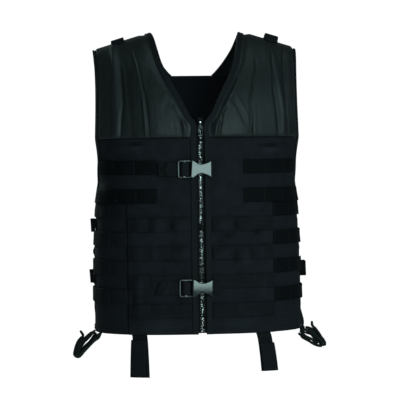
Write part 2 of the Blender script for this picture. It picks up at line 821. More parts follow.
def front_relief(side, s, z):
    """How far the front panel stands off the body at a distance along it and a height."""
    seam = along_at_x(z, OPEN_X + BINDING_WIDTH)
    inside = ease((s - seam) / 0.012) * ease((front_edge(z) - ARM_BINDING_WIDTH - s) / 0.012)
    inside *= ease((z - HEM_Z) / 0.006) * ease((YOKE_Z - z) / 0.005)
    if inside <= 0:
        return 0.0
    total = wrinkle(side, s, z) + swellings(side, s, z)
    row = (ROW_TOP_Z - z) / ROW_PITCH
    if z < ROW_TOP_Z - ROW_PITCH:
        between = math.sin(math.pi * row) ** 2
        cell = math.sin(math.pi * (s - LONG_ROW_X) / TACK_PITCH) ** 2
        total += 0.0011 * between * (0.35 + 0.65 * cell)
    total += 0.0006 * bell(z - (HEM_Z + HEM_FOLD - 0.003), 0.004)
    return total * inside


print("swellings in the table:", len(PUFFS))

# %% [markdown]
# ## Front panels
#
# Heavy nylon, cut in two halves that meet at the zip. Below the armhole each half ends where the side flap
# comes out from under it, so the grid leaves those cells away.

# %% Front panels


def front_columns(z):
    """Places along a row: zip edge, placket seam, the step to the side flap, then the outer edge."""
    start, seam = along_at_x(z, OPEN_X), along_at_x(z, OPEN_X + BINDING_WIDTH)
    step = along_at_x(z, STEP_X)
    edge = front_edge(z)
    return [start, (start + seam) / 2] + shared(seam, step, 64) + shared(step, edge, 20)[1:]


def front_panel(side):
    rows = heights((HEM_Z, SIDE_TOP_Z, ROW_STEP), (SIDE_TOP_Z, YOKE_Z - SEAM_GAP, ROW_STEP))

    def place(s, z):
        return on_side(side, s, z, front_relief(side, s, z))

    def keep(i, j):
        return i < 66 or rows[j] >= SIDE_TOP_Z - 1e-5

    bm = laid_grid(rows, front_columns, place, keep, lambda s, z: rubbed(side, s, z))
    name = side_name(side)
    piece = cloth_piece(f"front_panel_cloth_{name}", bm, "cordura", CLOTH, f"front_panel_{name}")
    hang(piece)


for side in (-1, 1):
    front_panel(side)


# %% [markdown]
# ## Side flaps and back
#
# The flap under each side is a second layer that ends in the lacing. The back isn't seen in the photograph;
# such vests carry the same cloth and the same rows across it, so it is finished that way, plainly.

# %% Side flaps


def side_relief(side, s, z):
    """The flap's own waves, calm at its two ends."""
    start, edge = along_at_x(z, TUCK_X), along_at_y(z, LACING_FRONT_Y)
    inside = ease((s - start - 0.012) / 0.012) * ease((edge - s) / 0.010) * ease((z - HEM_Z) / 0.006)
    row = (SIDE_ROW_TOP_Z - z) / ROW_PITCH
    between = math.sin(math.pi * row) ** 2
    return inside * (0.7 * wrinkle(side * 2, s, z) + 0.0007 * between)


def side_flap(side):
    rows = heights((HEM_Z, SIDE_TOP_Z + 0.010, ROW_STEP))

    def columns(z):
        return shared(along_at_x(z, TUCK_X), front_edge(z), 40)

    def place(s, z):
        return on_side(side, s, z, SIDE_DEPTH + side_relief(side, s, z))

    bm, name = laid_grid(rows, columns, place), side_name(side)
    piece = cloth_piece(f"side_flap_cloth_{name}", bm, "cordura", CLOTH, f"side_panel_{name}")
    hang(piece)


for side in (-1, 1):
    side_flap(side)


# %% Back panel


def back_relief(s, z):
    """Broad quiet waves, and a swelling between the rows."""
    edge = half_ring(z) - back_edge(z)
    inside = ease((edge - 0.010 - abs(s)) / 0.015) * ease((z - HEM_Z) / 0.006)
    inside *= ease((BACK_TOP_Z - z) / 0.010)
    row = (SIDE_ROW_TOP_Z - z) / ROW_PITCH
    between = math.sin(math.pi * row) ** 2 if z < SIDE_ROW_TOP_Z + ROW_PITCH / 2 else 0.4
    return inside * (1.1 * wrinkle(3, s, z) + 0.0008 * between)


def back_panel():
    rows = heights((HEM_Z, YOKE_Z, 0.0035), (YOKE_Z, BACK_TOP_Z - SEAM_GAP, 0.0035))

    def columns(z):
        half = half_ring(z) - back_edge(z)
        return [half * (i / 60 - 1) for i in range(121)]

    def place(s, z):
        return on_back(s, z, SIDE_DEPTH + back_relief(s, z))

    bm = laid_grid(rows, columns, place)
    piece = cloth_piece("back_panel_cloth", bm, "cordura", CLOTH, "back_panel")
    hang(piece)


back_panel()

# %% [markdown]
# ## The padded yoke
#
# Smooth nylon over thin foam, drawn over the chest and the shoulders. Its long upright folds are the
# strongest shapes of the upper half, so each one has a row in a table: where it starts, where it ends, how
# high and how wide it is. The pad is fine enough a grid for them, and it puffs up just above its lower
# seam. The table is in millimetres, and a path is a line of (x, z) places from the top down.

# %% Folds
Fold = namedtuple("Fold", "side height width fade path")
FOLDS = (
    Fold(-1, 4, 7.2, 60, ((147, -34), (146, -67), (145, -103), (144, -139), (146, -170))),
    Fold(-1, -1.6, 2.6, 15, ((136, -58), (134, -86), (133, -112), (136, -135), (139, -171))),
    Fold(-1, -1.4, 3, 30, ((153, -45), (154, -85), (155, -170))),
    Fold(-1, 1.3, 2.3, 10, ((115, -22), (111, -37), (106, -54), (102, -72))),
    Fold(-1, 2, 2.5, 20, ((99, -101), (97, -126), (94, -171))),
    Fold(-1, -1.3, 2.3, 12, ((106, -50), (100, -76), (94, -108), (91, -140), (90, -172))),
    Fold(-1, 1.8, 2.4, 10, ((59, -92), (48, -105), (38, -121), (32, -132), (28, -148), (26, -162),
        (21, -172))),
    Fold(-1, -1.6, 2.3, 10, ((47, -114), (40, -127), (36, -145), (33, -163), (32, -172))),
    Fold(-1, -0.8, 5, 30, ((125, -68), (122, -113), (118, -171))),
    Fold(1, -1.8, 2.3, 20, ((103, -50), (98, -67), (93, -81), (89, -105), (90, -133), (90, -174))),
    Fold(1, 1.1, 2.6, 20, ((97, -135), (96, -174))),
    Fold(1, -1.3, 3, 12, ((56, -103), (67, -119), (73, -133), (79, -144), (87, -160))),
    Fold(1, 0.9, 3.2, 12, ((64, -97), (76, -117), (84, -137))),
    Fold(1, -1.6, 2.5, 15, ((134, -33), (132, -87), (136, -120), (140, -174))),
    Fold(1, 2.5, 3.2, 25, ((140, -67), (145, -101), (148, -124), (148, -174))),
    Fold(1, -1.6, 2.3, 12, ((156, -14), (152, -70), (154, -108), (158, -174))),
    Fold(1, 1.2, 3, 20, ((163, -29), (161, -88), (164, -131))),
    Fold(1, 1.7, 2.7, 10, ((69, -70), (57, -94), (47, -113), (37, -134), (31, -146), (24, -173))),
    Fold(1, -1.8, 2.3, 8, ((45, -120), (39, -131), (37, -140), (34, -163), (33, -173))),
)
# a path that ends this near the seam runs on into it
NEAR_SEAM = 4


def fold_height(side, x, z):
    """The folds at a place. Each follows its path and fades past an end that is inside the pad."""
    x, z = x * 1000, z * 1000
    total = 0.0
    for f in FOLDS:
        top, bottom = f.path[0][1], f.path[-1][1]
        if f.side != side or z > top + f.fade:
            continue
        centre = float(np.interp(-z, [-place[1] for place in f.path], [place[0] for place in f.path]))
        strength = ease(1 + (top - z) / f.fade) if z > top else 1.0
        if bottom > YOKE_Z * 1000 + NEAR_SEAM:
            strength *= ease(1 - (bottom - z) / f.fade)
        total += f.height * strength * bell(x - centre, f.width)
    return total / 1000


DRAPE = 0.0006
FINE_DRAPE = 0.00025
settled = {}


def settled_rise(side, s, t):
    """How far the settling moved a place out: nothing until it has run, and nothing behind the shoulder."""
    if side not in settled or t >= TOP_OF_SHOULDER:
        return 0.0
    table = settled[side]
    i = (s - neck_along(t)) / (ARM_ALONG - neck_along(t)) * (table.shape[1] - 1)
    j = t / TOP_OF_SHOULDER * (table.shape[0] - 1)
    a, b = min(max(int(i), 0), table.shape[1] - 2), min(int(j), table.shape[0] - 2)
    u, v = min(max(i - a, 0.0), 1.0), min(j - b, 1.0)
    low = table[b][a] * (1 - u) + table[b][a + 1] * u
    high = table[b + 1][a] * (1 - u) + table[b + 1][a + 1] * u
    return float(low * (1 - v) + high * v)


def yoke_rise(side, s, t):
    """How far the pad stands out: nothing at its bound edges, full with its folds inside them."""
    neck = (s - neck_along(t)) / neck_slant(t) - BINDING_WIDTH
    arm = ARM_ALONG - s - ARM_BINDING_WIDTH
    inside = ease(min(neck, arm) / 0.012) * ease((YOKE_END - t) / 0.030)
    puff = ease((t + 0.004) / 0.010)
    point = yoke_base(s, t)
    front = ease((TOP_OF_SHOULDER - t) / 0.040)
    drape = DRAPE * noise.noise(Vector((s * 55, t * 14, side * 9.1)))
    drape += FINE_DRAPE * noise.noise(Vector((s * 150, t * 45, side * 2.3)))
    folds = (fold_height(side, point.x, point.z) + drape) * front * puff
    return inside * (PAD_RISE[side] * puff + folds + settled_rise(side, s, t) * puff)


print("folds in the table:", len(FOLDS))

# %% [markdown]
# ## Letting the pads settle
#
# Sewn padding isn't as regular as a table of folds. A coarse copy of each pad is cut a little too large,
# held at its edges and pressed out from behind by Blender's cloth for a few frames. How far each place
# moves out is kept, limited, and added to the folds. The copy itself is thrown away.

# %% Cloth simulation of the pads
SETTLE_COLUMNS = 32
SETTLE_STEP = 0.0055
SETTLE_FRAMES = 20
SETTLE_LIMIT = 0.0010
SETTLE_EASE = 3.5
CUT_LARGER = 0.03
PRESSURE = 4.0


def settle(side):
    """Runs the cloth on a coarse copy of the pad's front and keeps how far each of its points moved out."""
    rows = even(0.0, TOP_OF_SHOULDER, SETTLE_STEP)

    def columns(t):
        return shared(neck_along(t), ARM_ALONG, SETTLE_COLUMNS)

    bm = laid_grid(rows, columns, lambda s, t: on_shoulder(side, s, t, yoke_rise(side, s, t)))
    held = [v.index for v in outwards(bm).verts if v.is_boundary]
    before = [v.co.copy() for v in bm.verts]
    normals = [v.normal.copy() for v in bm.verts]
    obj = new_piece("settling_copy", bm, "satin_nylon")
    obj.vertex_groups.new(name="held").add(held, 1.0, "REPLACE")
    cloth = obj.modifiers.new("settling", "CLOTH")
    cloth.settings.vertex_group_mass = "held"
    cloth.settings.use_pressure = True
    cloth.settings.uniform_pressure_force = PRESSURE
    cloth.settings.shrink_min = -CUT_LARGER
    cloth.settings.effector_weights.gravity = 0.0
    cloth.collision_settings.use_collision = False
    cloth.point_cache.frame_end = SETTLE_FRAMES
    for number in range(1, SETTLE_FRAMES + 1):
        bpy.context.scene.frame_set(number)
    result = obj.evaluated_get(bpy.context.evaluated_depsgraph_get()).to_mesh()
    moved = np.array([(v.co - at).dot(out) for v, at, out in zip(result.vertices, before, normals)])
    bpy.context.scene.frame_set(1)
    bpy.data.objects.remove(obj)
    print("pad", side_name(side), "moved out, mm:", np.round([moved.min() * 1000, moved.max() * 1000], 1))
    moved = moved.reshape(len(rows), SETTLE_COLUMNS + 1)
    settled[side] = SETTLE_LIMIT * np.tanh((moved - np.median(moved)) / (SETTLE_EASE * SETTLE_LIMIT))


for side in (-1, 1):
    settle(side)


# %% The pads
PAD_THICK = 0.0035


def yoke_columns(t):
    start = neck_along(t)
    seam = start + BINDING_WIDTH * neck_slant(t)
    return [start, (start + seam) / 2] + shared(seam, ARM_ALONG, 150)


def pad_rubbed(side, s, t):
    """Paler along the folds' backs and near the lower seam, darker in the creases."""
    point = yoke_base(s, t)
    centre, reach = (0.052, 0.030) if side < 0 else (0.056, 0.040)
    low = 0.35 * bell(t - 0.012, 0.012) * bell(point.x - centre, reach)
    creased = 0.50 * fold_height(side, point.x, point.z) / 0.0020
    outer = 0.45 * ease((point.x - 0.148) / 0.010) if side < 0 else -0.15 * ease((0.110 - point.x) / 0.030)
    return min(0.9, max(-0.8, low + creased + outer))


def yoke_pad(side):
    rows = even(0.0, TOP_OF_SHOULDER, ROW_STEP) + even(TOP_OF_SHOULDER, YOKE_END, 0.0036)[1:]

    def place(s, t):
        return on_shoulder(side, s, t, yoke_rise(side, s, t))

    def rub(s, t):
        return pad_rubbed(side, s, t)

    bm, name = laid_grid(rows, yoke_columns, place, rub=rub), f"yoke_{side_name(side)}"
    obj, _ = cloth_piece(f"yoke_pad_{side_name(side)}", bm, "satin_nylon", PAD_THICK, name)
    print(obj.name, "faces:", len(obj.data.polygons))


for side in (-1, 1):
    yoke_pad(side)


# %% [markdown]
# ## Webbing
#
# All the straps are one kind of thing: a flat woven band with rounded edges. A band follows a middle line
# in two directions, along the body and out from it. The line is read as a smooth curve, a closed
# cross-section is carried along it, and the result keeps a UV map of its length and its width for the ribs.

# %% A band along a line
RIM = 3
BAND_STEP = 0.0022
SEAM_SHIFT = 0.03


def curve_through(points, step):
    """Points about step apart on a smooth curve through the given ones, in any number of dimensions."""
    points = [np.array(p, float) for p in points]
    ends = [points[0] * 2 - points[1]] + points + [points[-1] * 2 - points[-2]]
    fine = []
    for i in range(1, len(ends) - 2):
        p0, p1, p2, p3 = ends[i - 1 : i + 3]
        d0, d1, d2 = (max(1e-6, np.linalg.norm(b - a) ** 0.5) for a, b in ((p0, p1), (p1, p2), (p2, p3)))
        m1 = (p2 - p1) + d1 * ((p1 - p0) / d0 - (p2 - p0) / (d0 + d1))
        m2 = (p2 - p1) + d1 * ((p3 - p2) / d2 - (p3 - p1) / (d1 + d2))
        for k in range(12):
            a, b, c, d = blend(k / 12)
            fine.append(p1 * a + p2 * b + m1 * c + m2 * d)
    fine = np.array(fine + [points[-1]])
    along = run_length(fine)
    at = np.linspace(0, along[-1], max(2, round(along[-1] / step)) + 1)
    return np.stack([np.interp(at, along, fine[:, k]) for k in range(fine.shape[1])], axis=1)


def band_section(width):
    """A flat band's closed outline as (across, out): flat faces, round edges."""
    half, r = width / 2 - WEB / 2, WEB / 2
    flat = [(half * (1 - i / 4), r) for i in range(9)]
    turns = [math.pi * i / RIM for i in range(1, RIM)]
    outline = flat + [(-half - r * math.sin(a), r * math.cos(a)) for a in turns]
    return outline + [(-across, -out) for across, out in outline]


def tube_into(bm, nx, ny, uv_at, point_at, worn_at=None):
    """Bends a grid into a tube, joins its long edges and closes its ends."""
    spots = grid_into(bm, nx, ny)
    lay(bm, spots, uv_at, point_at, worn_at)
    bmesh.ops.remove_doubles(bm, verts=list(spots), dist=0.00001)
    bmesh.ops.holes_fill(bm, edges=[e for e in bm.edges if e.is_boundary], sides=0)


def band_piece(name, path, width, place, nodes, material="webbing", rub=None):
    """A piece of webbing: place(a, b, across) puts its path's two directions and its width in space."""
    line = curve_through(path, BAND_STEP)
    tangent = np.gradient(line, axis=0)
    tangent /= np.linalg.norm(tangent, axis=1)[:, None]
    length = run_length(line)
    section = band_section(width)
    nx = len(section)

    def uv_at(i, j):
        return length[j], section[i % nx][0] + (SEAM_SHIFT if i == nx else 0.0)

    def point_at(i, j):
        across, out = section[i % nx]
        return place(line[j][0] - tangent[j][1] * out, line[j][1] + tangent[j][0] * out, across)

    def worn_at(i, j):
        return rub(line[j][0], section[i % nx][0]) if rub else 0.0

    bm = cloth_bmesh()
    tube_into(bm, nx, len(line) - 1, uv_at, point_at, worn_at)
    bmesh.ops.recalc_face_normals(bm, faces=bm.faces)
    obj = new_piece(name, bm, material)
    return finish_piece(obj, nodes)


print("points in a band's outline:", len(band_section(WEB_WIDTH)))

# %% [markdown]
# ## Thread
#
# Stitches and bar tacks are real thread here, each one a short bent bit of a curve with a round bevel. They
# are gathered while the straps are made and become one mesh at the end, so that hundreds of them cost
# little.

# %% Collecting thread
THREADS = {"stitches": [], "tacks": []}
THREAD = 0.00045
STITCH_PITCH = 0.0034
STITCH = 0.0024
STITCH_RISE = 0.0003
STITCH_DIP = -0.0004
TACK_HEIGHT = 0.0224
TACK_LEGS = 9
TACK_WIDTH = 0.0021
ON_WEB = 0.00012


def sew(marks, place_at, lift=0.001):
    """A row of stitches along marks on the cloth: place_at(mark, rise) is a mark's point, raised."""
    points = [place_at(mark, 0.0) for mark in marks]
    outs = [(place_at(mark, lift) - point).normalized() for mark, point in zip(marks, points)]
    spots = np.array([[*point, *out] for point, out in zip(points, outs)])
    along = run_length(spots[:, :3])
    for k in range(int(along[-1] / STITCH_PITCH)):
        stitch = []
        for share, rise in ((0.0, STITCH_DIP), (0.18, STITCH_RISE), (0.82, STITCH_RISE), (1.0, STITCH_DIP)):
            at = k * STITCH_PITCH + 0.0005 + share * STITCH
            row = [np.interp(at, along, spots[:, c]) for c in range(6)]
            stitch.append(Vector(row[:3]) + Vector(row[3:]) * rise)
        THREADS["stitches"].append(stitch)


def tack(place, a, top, height):
    """A bar tack: a dense zigzag across the webbing at distance a, on its top face."""
    count = TACK_LEGS * 2
    sway = [TACK_WIDTH / 2 if k % 2 else -TACK_WIDTH / 2 for k in range(count + 1)]
    THREADS["tacks"].append([place(a + s, top, height * (0.5 - k / count)) for k, s in enumerate(sway)])


def tack_row(place, start, end, cells, top, first=0.0022, last=0.0022):
    """Tacks at both ends of a row and between its cells, the end ones set in a little."""
    for k in range(cells + 1):
        inset = first if k == 0 else -last if k == cells else 0.0
        tack(place, start + (end - start) * k / cells + inset, top + ON_WEB, TACK_HEIGHT)


print("thread thickness, mm:", THREAD * 1000)

# %% [markdown]
# ## Rows of webbing on the front
#
# Each row is one band, tacked to the panel at both ends and every 38 mm. Between the tacks it stands off a
# little, more in the lower rows, where pouches have pulled at it. Near the buckle it lies flat.

# %% Front rows
LOWER_BUCKLE_Z = -0.4373
UPPER_BUCKLE_Z = -0.2274
ROW_SAG = 0.0022


def sag(share, count):
    """The stand-off of a row between its tacks: share runs from 0 to 1 along it, count is its cells."""
    return abs(math.sin(math.pi * share * count)) ** 1.4


def row_line(start, end, cells, level, bulge):
    """A row's middle line from tack to tack: bulge(share) is how far it stands off."""
    shares = [i / (8 * cells) for i in range(8 * cells + 1)]
    return [(start + (end - start) * t, level + bulge(t) * sag(t, cells)) for t in shares]


def front_row(side, number):
    z = ROW_TOP_Z - ROW_PITCH * (number - 1)
    short = number <= SHORT_ROWS
    if short:
        nearest = min(front_edge(z + across) for across in (-WEB_WIDTH / 2, 0.0, WEB_WIDTH / 2))
        start, end = along_at_x(z, SHORT_ROW_X), nearest - ARM_BINDING_WIDTH - 0.002
    else:
        start, end = along_at_x(z, LONG_ROW_X), along_at_x(z, STEP_X) - 0.001
    near_buckle = abs(z - LOWER_BUCKLE_Z) < WEB_WIDTH

    def bulge(share):
        if near_buckle:
            return ROW_SAG * ease((share - 0.45) / 0.3)
        uneven = 1.0 + 0.5 * noise.noise(Vector((share * 6, number * 2.7, side * 4.4)))
        return ROW_SAG * uneven * (0.35 if short else 1.0)

    def place(s, rise, across):
        lies = front_relief(side, min(max(s, start), end), z + across)
        return on_side(side, s, z + across, rise + lies)

    def rub(s, across):
        return rubbed(side, s, z + across)

    cells = max(1, round((end - start) / TACK_PITCH))
    line = row_line(start, end, cells, GAP + WEB / 2, bulge)
    name = f"front_row_{side_name(side)}_{number}"
    band_piece(f"webbing_{name}", line, WEB_WIDTH, place, [name], "deep_webbing" if short else "webbing", rub)
    tack_row(place, start, end, cells, GAP + WEB)


for side in (-1, 1):
    for number in range(1, 7):
        front_row(side, number)
print("tacks on the front:", len(THREADS["tacks"]))

# %% [markdown]
# ## Rows on the sides and the back, with their lacing loops
#
# The side rows sit half a pitch lower and end in loops that the lace runs through. One of them on the
# right, and two extra tabs on the left, stand out and show in the outline. The back rows end in the same
# loops.

# %% Side rows
SIDE_ROW_GAP = 0.0012
SIDE_ROW_LEVEL = SIDE_DEPTH + SIDE_ROW_GAP + WEB / 2
LOOP_REACH = 0.0047
LOOP_RADIUS = 0.0044
STANDING_ROWS = {("right", 3): 0.0125}
STANDING_DROP = 0.0125


def edge_loop(edge, base):
    """The lacing loop in which a row ends: round the panel's edge and back behind it."""
    middle = base - CLOTH / 2
    centre = edge + LOOP_REACH
    turn = [
        (centre + LOOP_RADIUS * math.sin(math.radians(a)), middle + LOOP_RADIUS * math.cos(math.radians(a)))
        for a in (0, 40, 90, 140, 180)
    ]
    behind = base - CLOTH - GAP - WEB / 2 - 0.0004
    return turn + [(edge - 0.002, behind - 0.0006), (edge - 0.010, behind)]


def standing_loop(edge, base, height):
    """A loop that stands out from the panel instead."""
    near, middle, far = (edge - 0.0060 + half for half in (-0.0022, 0.0, 0.0022))
    return [
        (edge - 0.0085, base + 0.0016), (near, base + 0.0040), (near, base + height - 0.0025),
        (middle, base + height - WEB / 2), (far, base + height - 0.0025), (far, base + 0.0040),
        (edge - 0.0030, base + 0.0014), (edge, base + GAP + WEB / 2),
    ]


def side_row(side, number):
    z = SIDE_ROW_TOP_Z - ROW_PITCH * (number - 1)
    start, edge = along_at_x(z, STEP_X) + 0.0015, along_at_y(z, LACING_FRONT_Y)
    height = STANDING_ROWS.get((side_name(side), number))
    last = edge - (0.016 if height else 0.004)
    cells = max(1, round((last - start) / TACK_PITCH))
    path = row_line(start, last, cells, SIDE_ROW_LEVEL, lambda share: 0.0009)
    path += standing_loop(edge, SIDE_DEPTH, height) if height else edge_loop(edge, SIDE_DEPTH)

    def place(s, rise, across):
        drop = STANDING_DROP * ease((s - last) / 0.012) if height else 0.0
        lies = side_relief(side, min(s, last), z + across)
        return on_side(side, s, z + across, rise + lies) - Vector((0, 0, drop))

    name = f"side_row_{side_name(side)}_{number}"
    band_piece(f"webbing_{name}", path, WEB_WIDTH, place, [name], "deep_webbing" if side > 0 else "webbing")
    tack_row(place, start, last, cells, SIDE_ROW_LEVEL + WEB / 2, last=0.0030)


for side in (-1, 1):
    for number in range(1, 5):
        side_row(side, number)


# %% Back rows


def back_row(number):
    z = SIDE_ROW_TOP_Z - ROW_PITCH * (number - 1)
    edge = half_ring(z) - along_at_y(z, LACING_BACK_Y)
    reach = edge - 0.004
    cells = 2 * round(reach / TACK_PITCH)
    turn = edge_loop(edge, SIDE_DEPTH)
    flat = row_line(-reach, reach, cells, SIDE_ROW_LEVEL, lambda share: 0.0010)
    path = [(-s, rise) for s, rise in reversed(turn)] + flat + turn

    def place(s, rise, across):
        return on_back(s, z + across, rise + back_relief(max(-reach, min(reach, s)), z + across))

    band_piece(f"webbing_back_row_{number}", path, WEB_WIDTH, place, [f"back_row_{number}"])
    tacked = reach * 0.985
    tack_row(place, -tacked, tacked, cells, SIDE_ROW_LEVEL + WEB / 2, first=0.0, last=0.0)


for number in range(1, 5):
    back_row(number)


# %% Tabs on the left
Tab = namedtuple("Tab", "name z height")
TABS = (Tab("upper", -0.3274, 0.0080), Tab("lower", -0.4202, 0.0072))
TAB_TILT = 0.22


def lacing_tab(tab):
    """A loop of webbing that stands out at the left side, leaning so that its top reaches furthest."""
    base = SIDE_DEPTH + GAP + WEB
    edge = along_at_y(tab.z, LACING_FRONT_Y) + 0.002
    path = [(edge - 0.020, base + GAP + WEB / 2)] + standing_loop(edge, base, tab.height)[:-1]

    def place(s, rise, across):
        raised = max(0.0, rise - base - 0.002) * TAB_TILT * across / (WEB_WIDTH / 2)
        return on_side(-1, s, tab.z + across, rise + raised)

    name = f"lacing_tab_left_{tab.name}"
    band_piece(f"webbing_{name}", path, WEB_WIDTH - 0.0006, place, [name])
    tack(place, edge - 0.0165, base + GAP + WEB + ON_WEB, 0.021)


for tab in TABS:
    lacing_tab(tab)
print("thread so far:", {k: len(v) for k, v in THREADS.items()})

# %% [markdown]
# ## Bound edges
#
# The neck, the plackets beside the zip and the armholes are bound with folded tape. On the real vest the
# tape wraps the raw edge and is sewn through both halves. Here it is a band too: its line starts on the
# outside, goes round the edge and comes back inside, with a soft roll where it turns.

# %% Neck and placket binding
NECK_STATIONS = [("front", z) for z in even(HEM_Z, YOKE_Z - SEAM_GAP, 0.006)]
NECK_STATIONS += [("yoke", t) for t in even(0.0, YOKE_END, 0.005)[1:]]
# the tape's section: shares of its width in from the edge, and rises in tape thicknesses
WRAP = (
    (1.0, 0.0), (1.0, 1.0), (0.93, 1.25), (0.6, 1.2), (0.25, 1.35), (0.06, 1.45), (-0.02, 0.9),
    (-0.02, -0.9), (0.06, -3.6), (0.30, -3.8), (0.30, -3.2),
)
PAST_EDGE = 0.0003
TAPE_TOP = 1.42
TAPE_RIB = 0.0014


def tape_surface(name, stations, place, seams):
    """A folded tape along its stations, with a line of stitches at each of the seams' shares."""
    rows, across = list(range(len(stations))), list(range(len(WRAP)))
    bm = laid_grid(rows, lambda j: across, lambda i, j: place(stations[j], *WRAP[i]))
    uv = bm.loops.layers.uv["cloth"]
    for f in bm.faces:
        for loop in f.loops:
            loop[uv].uv = (loop.vert.co.z + loop.vert.co.y, loop[uv].uv[0] * TAPE_RIB)
    bmesh.ops.recalc_face_normals(bm, faces=bm.faces)
    obj = new_piece(f"tape_{name}", bm, "binding_tape")
    soft = obj.modifiers.new("soft", "SUBSURF")
    soft.levels = 1
    soft.render_levels = 1
    finish_piece(obj, [name])
    for share in seams:
        sew(stations, lambda station, lift: place(station, share, TAPE_TOP + lift), lift=1.0)


def tape_rise(out):
    return (GAP if out > 0 else 0.0) + out * BINDING * 0.8


def neck_binding(side):
    def place(station, share, out):
        kind, at = station
        past = PAST_EDGE if share <= 0 else 0.0
        if kind == "front":
            start, end = along_at_x(at, OPEN_X), along_at_x(at, OPEN_X + BINDING_WIDTH)
            return on_side(side, start + (end - start) * share - past, at, tape_rise(out))
        s = neck_along(at) + BINDING_WIDTH * neck_slant(at) * share - past
        return on_shoulder(side, s, at, tape_rise(out))

    tape_surface(f"neck_binding_{side_name(side)}", NECK_STATIONS, place, (0.16, 0.86))


for side in (-1, 1):
    neck_binding(side)


# %% Armhole binding
ARM_STATIONS = [("front", z) for z in even(SIDE_TOP_Z, YOKE_Z - SEAM_GAP, 0.005)]
ARM_STATIONS += [("yoke", t) for t in even(0.0, YOKE_END, 0.005)[1:]]
ARM_STATIONS += [("back", z) for z in even(BACK_TOP_Z - SEAM_GAP, SIDE_TOP_Z, 0.005)[1:]]


def armhole_binding(side):
    def place(station, share, out):
        kind, at = station
        rise = tape_rise(out)
        inwards = ARM_BINDING_WIDTH * share - (PAST_EDGE if share <= 0 else 0.0)
        if kind == "front":
            return on_side(side, front_edge(at) - inwards, at, rise)
        if kind == "back":
            return on_side(side, back_edge(at) + inwards, at, rise + SIDE_DEPTH + GAP)
        return on_shoulder(side, ARM_ALONG - inwards, at, rise)

    tape_surface(f"armhole_binding_{side_name(side)}", ARM_STATIONS, place, (0.86,))


for side in (-1, 1):
    armhole_binding(side)
print("stitches so far:", len(THREADS["stitches"]))

# %% [markdown]
# ## Seams of the panels
#
# A turned hem is sewn 20 mm above the lower edge, and a seam joins each yoke pad to its panel. Two lines of
# stitches run close together, as on load-bearing gear.

# %% Seam tape
SEAM_TAPE_WIDTH = 0.0120


def seam_tape(side):
    """The tape that backs the seam between a yoke pad and its front panel."""
    start, end = along_at_x(YOKE_Z, 0.0190), front_edge(YOKE_Z) - 0.004
    path = [(s, -(PAD_THICK + WEB / 2 + 0.0001)) for s in even(start, end, 0.006)]

    def place(s, rise, across):
        return on_side(side, s, YOKE_Z + across, rise)

    band_piece(f"seam_tape_{side_name(side)}", path, SEAM_TAPE_WIDTH, place, [], "binding_tape")


for side in (-1, 1):
    seam_tape(side)


# %% Seam stitches
HEM_SEAMS = (HEM_Z + HEM_FOLD, HEM_Z + HEM_FOLD - 0.005)
MARK_STEP = 0.004


def seam(side, z, start, end, relief, depth=0.0):
    def place_at(s, lift):
        return on_side(side, s, z, depth + relief(side, s, z) + lift)

    sew(even(start, end, MARK_STEP), place_at)


def back_seam(z):
    half = half_ring(z) - back_edge(z) - 0.012
    sew(even(-half, half, MARK_STEP), lambda s, lift: on_back(s, z, SIDE_DEPTH + back_relief(s, z) + lift))


for side in (-1, 1):
    for z in HEM_SEAMS:
        placket, step = along_at_x(z, OPEN_X + BINDING_WIDTH), along_at_x(z, STEP_X)
        seam(side, z, placket + 0.002, step - 0.002, front_relief)
        seam(side, z, step + 0.003, front_edge(z) - 0.003, side_relief, SIDE_DEPTH)
    for z in (YOKE_Z - 0.0045, YOKE_Z - 0.0085):
        seam(side, z, along_at_x(z, OPEN_X + BINDING_WIDTH) + 0.002, front_edge(z) - 0.010, front_relief)
for z in (*HEM_SEAMS, YOKE_Z, YOKE_Z - 0.005):
    back_seam(z)
print("stitches so far:", len(THREADS["stitches"]))

# %% [markdown]
# ## The zip
#
# A moulded-tooth zip, closed: two rows of teeth that mesh, each tooth clamped on a cord at its tape's edge.
# One tooth is a cube with a narrower nose and bevelled corners, set alternately from the left and the right
# down the chest. A closed zip waves a little, so its teeth catch the light in stretches: a table leans them
# by height. The tapes are thin knitted strips behind the plackets.

# %% Tapes and teeth
ZIP_TOP_Z = -0.1530
ZIP_BOTTOM_Z = -0.5165
ZIP_TAPE = 0.0008
ZIP_TAPE_X = 0.0170
ZIP_TAPE_TOP_Z = -0.1510
TAPE_EDGE_X = 0.0003
TEETH_FRONT = -0.0012
TOOTH_PITCH = 0.0039
TOOTH_WIDTH = 0.0046
TOOTH_DEPTH = 0.0022
TOOTH_HEIGHT = 0.0018
NOSE_HEIGHT = 0.0013
TOOTH_SLOPE = {-1: 0.0005, 1: 0.0010}
STOP_LEAN = 0.0012
ZIP_WAVES = (
    (-0.5170, 0.36), (-0.5060, 0.24), (-0.4960, 0.03), (-0.4500, 0.0), (-0.4250, 0.34), (-0.3890, 0.34),
    (-0.3810, 0.0), (-0.3540, 0.0), (-0.3460, 0.34), (-0.3260, 0.34), (-0.3180, 0.0), (-0.2860, 0.06),
    (-0.1500, 0.0),
)


def front_y(z, rise):
    """The Y of a flat piece that stands in front of the zip line."""
    return on_body(0.0, z, rise).y


def zip_tape(side):
    def columns(z):
        return shared(along_at_x(z, TAPE_EDGE_X), along_at_x(z, ZIP_TAPE_X), 6)

    def place(s, z):
        return on_side(side, s, z, SIDE_DEPTH)

    name = f"zip_tape_{side_name(side)}"
    bm = laid_grid(heights((HEM_Z + 0.002, ZIP_TAPE_TOP_Z, 0.006)), columns, place)
    cloth_piece(f"knitted_{name}", bm, "zip_tape", ZIP_TAPE, name)


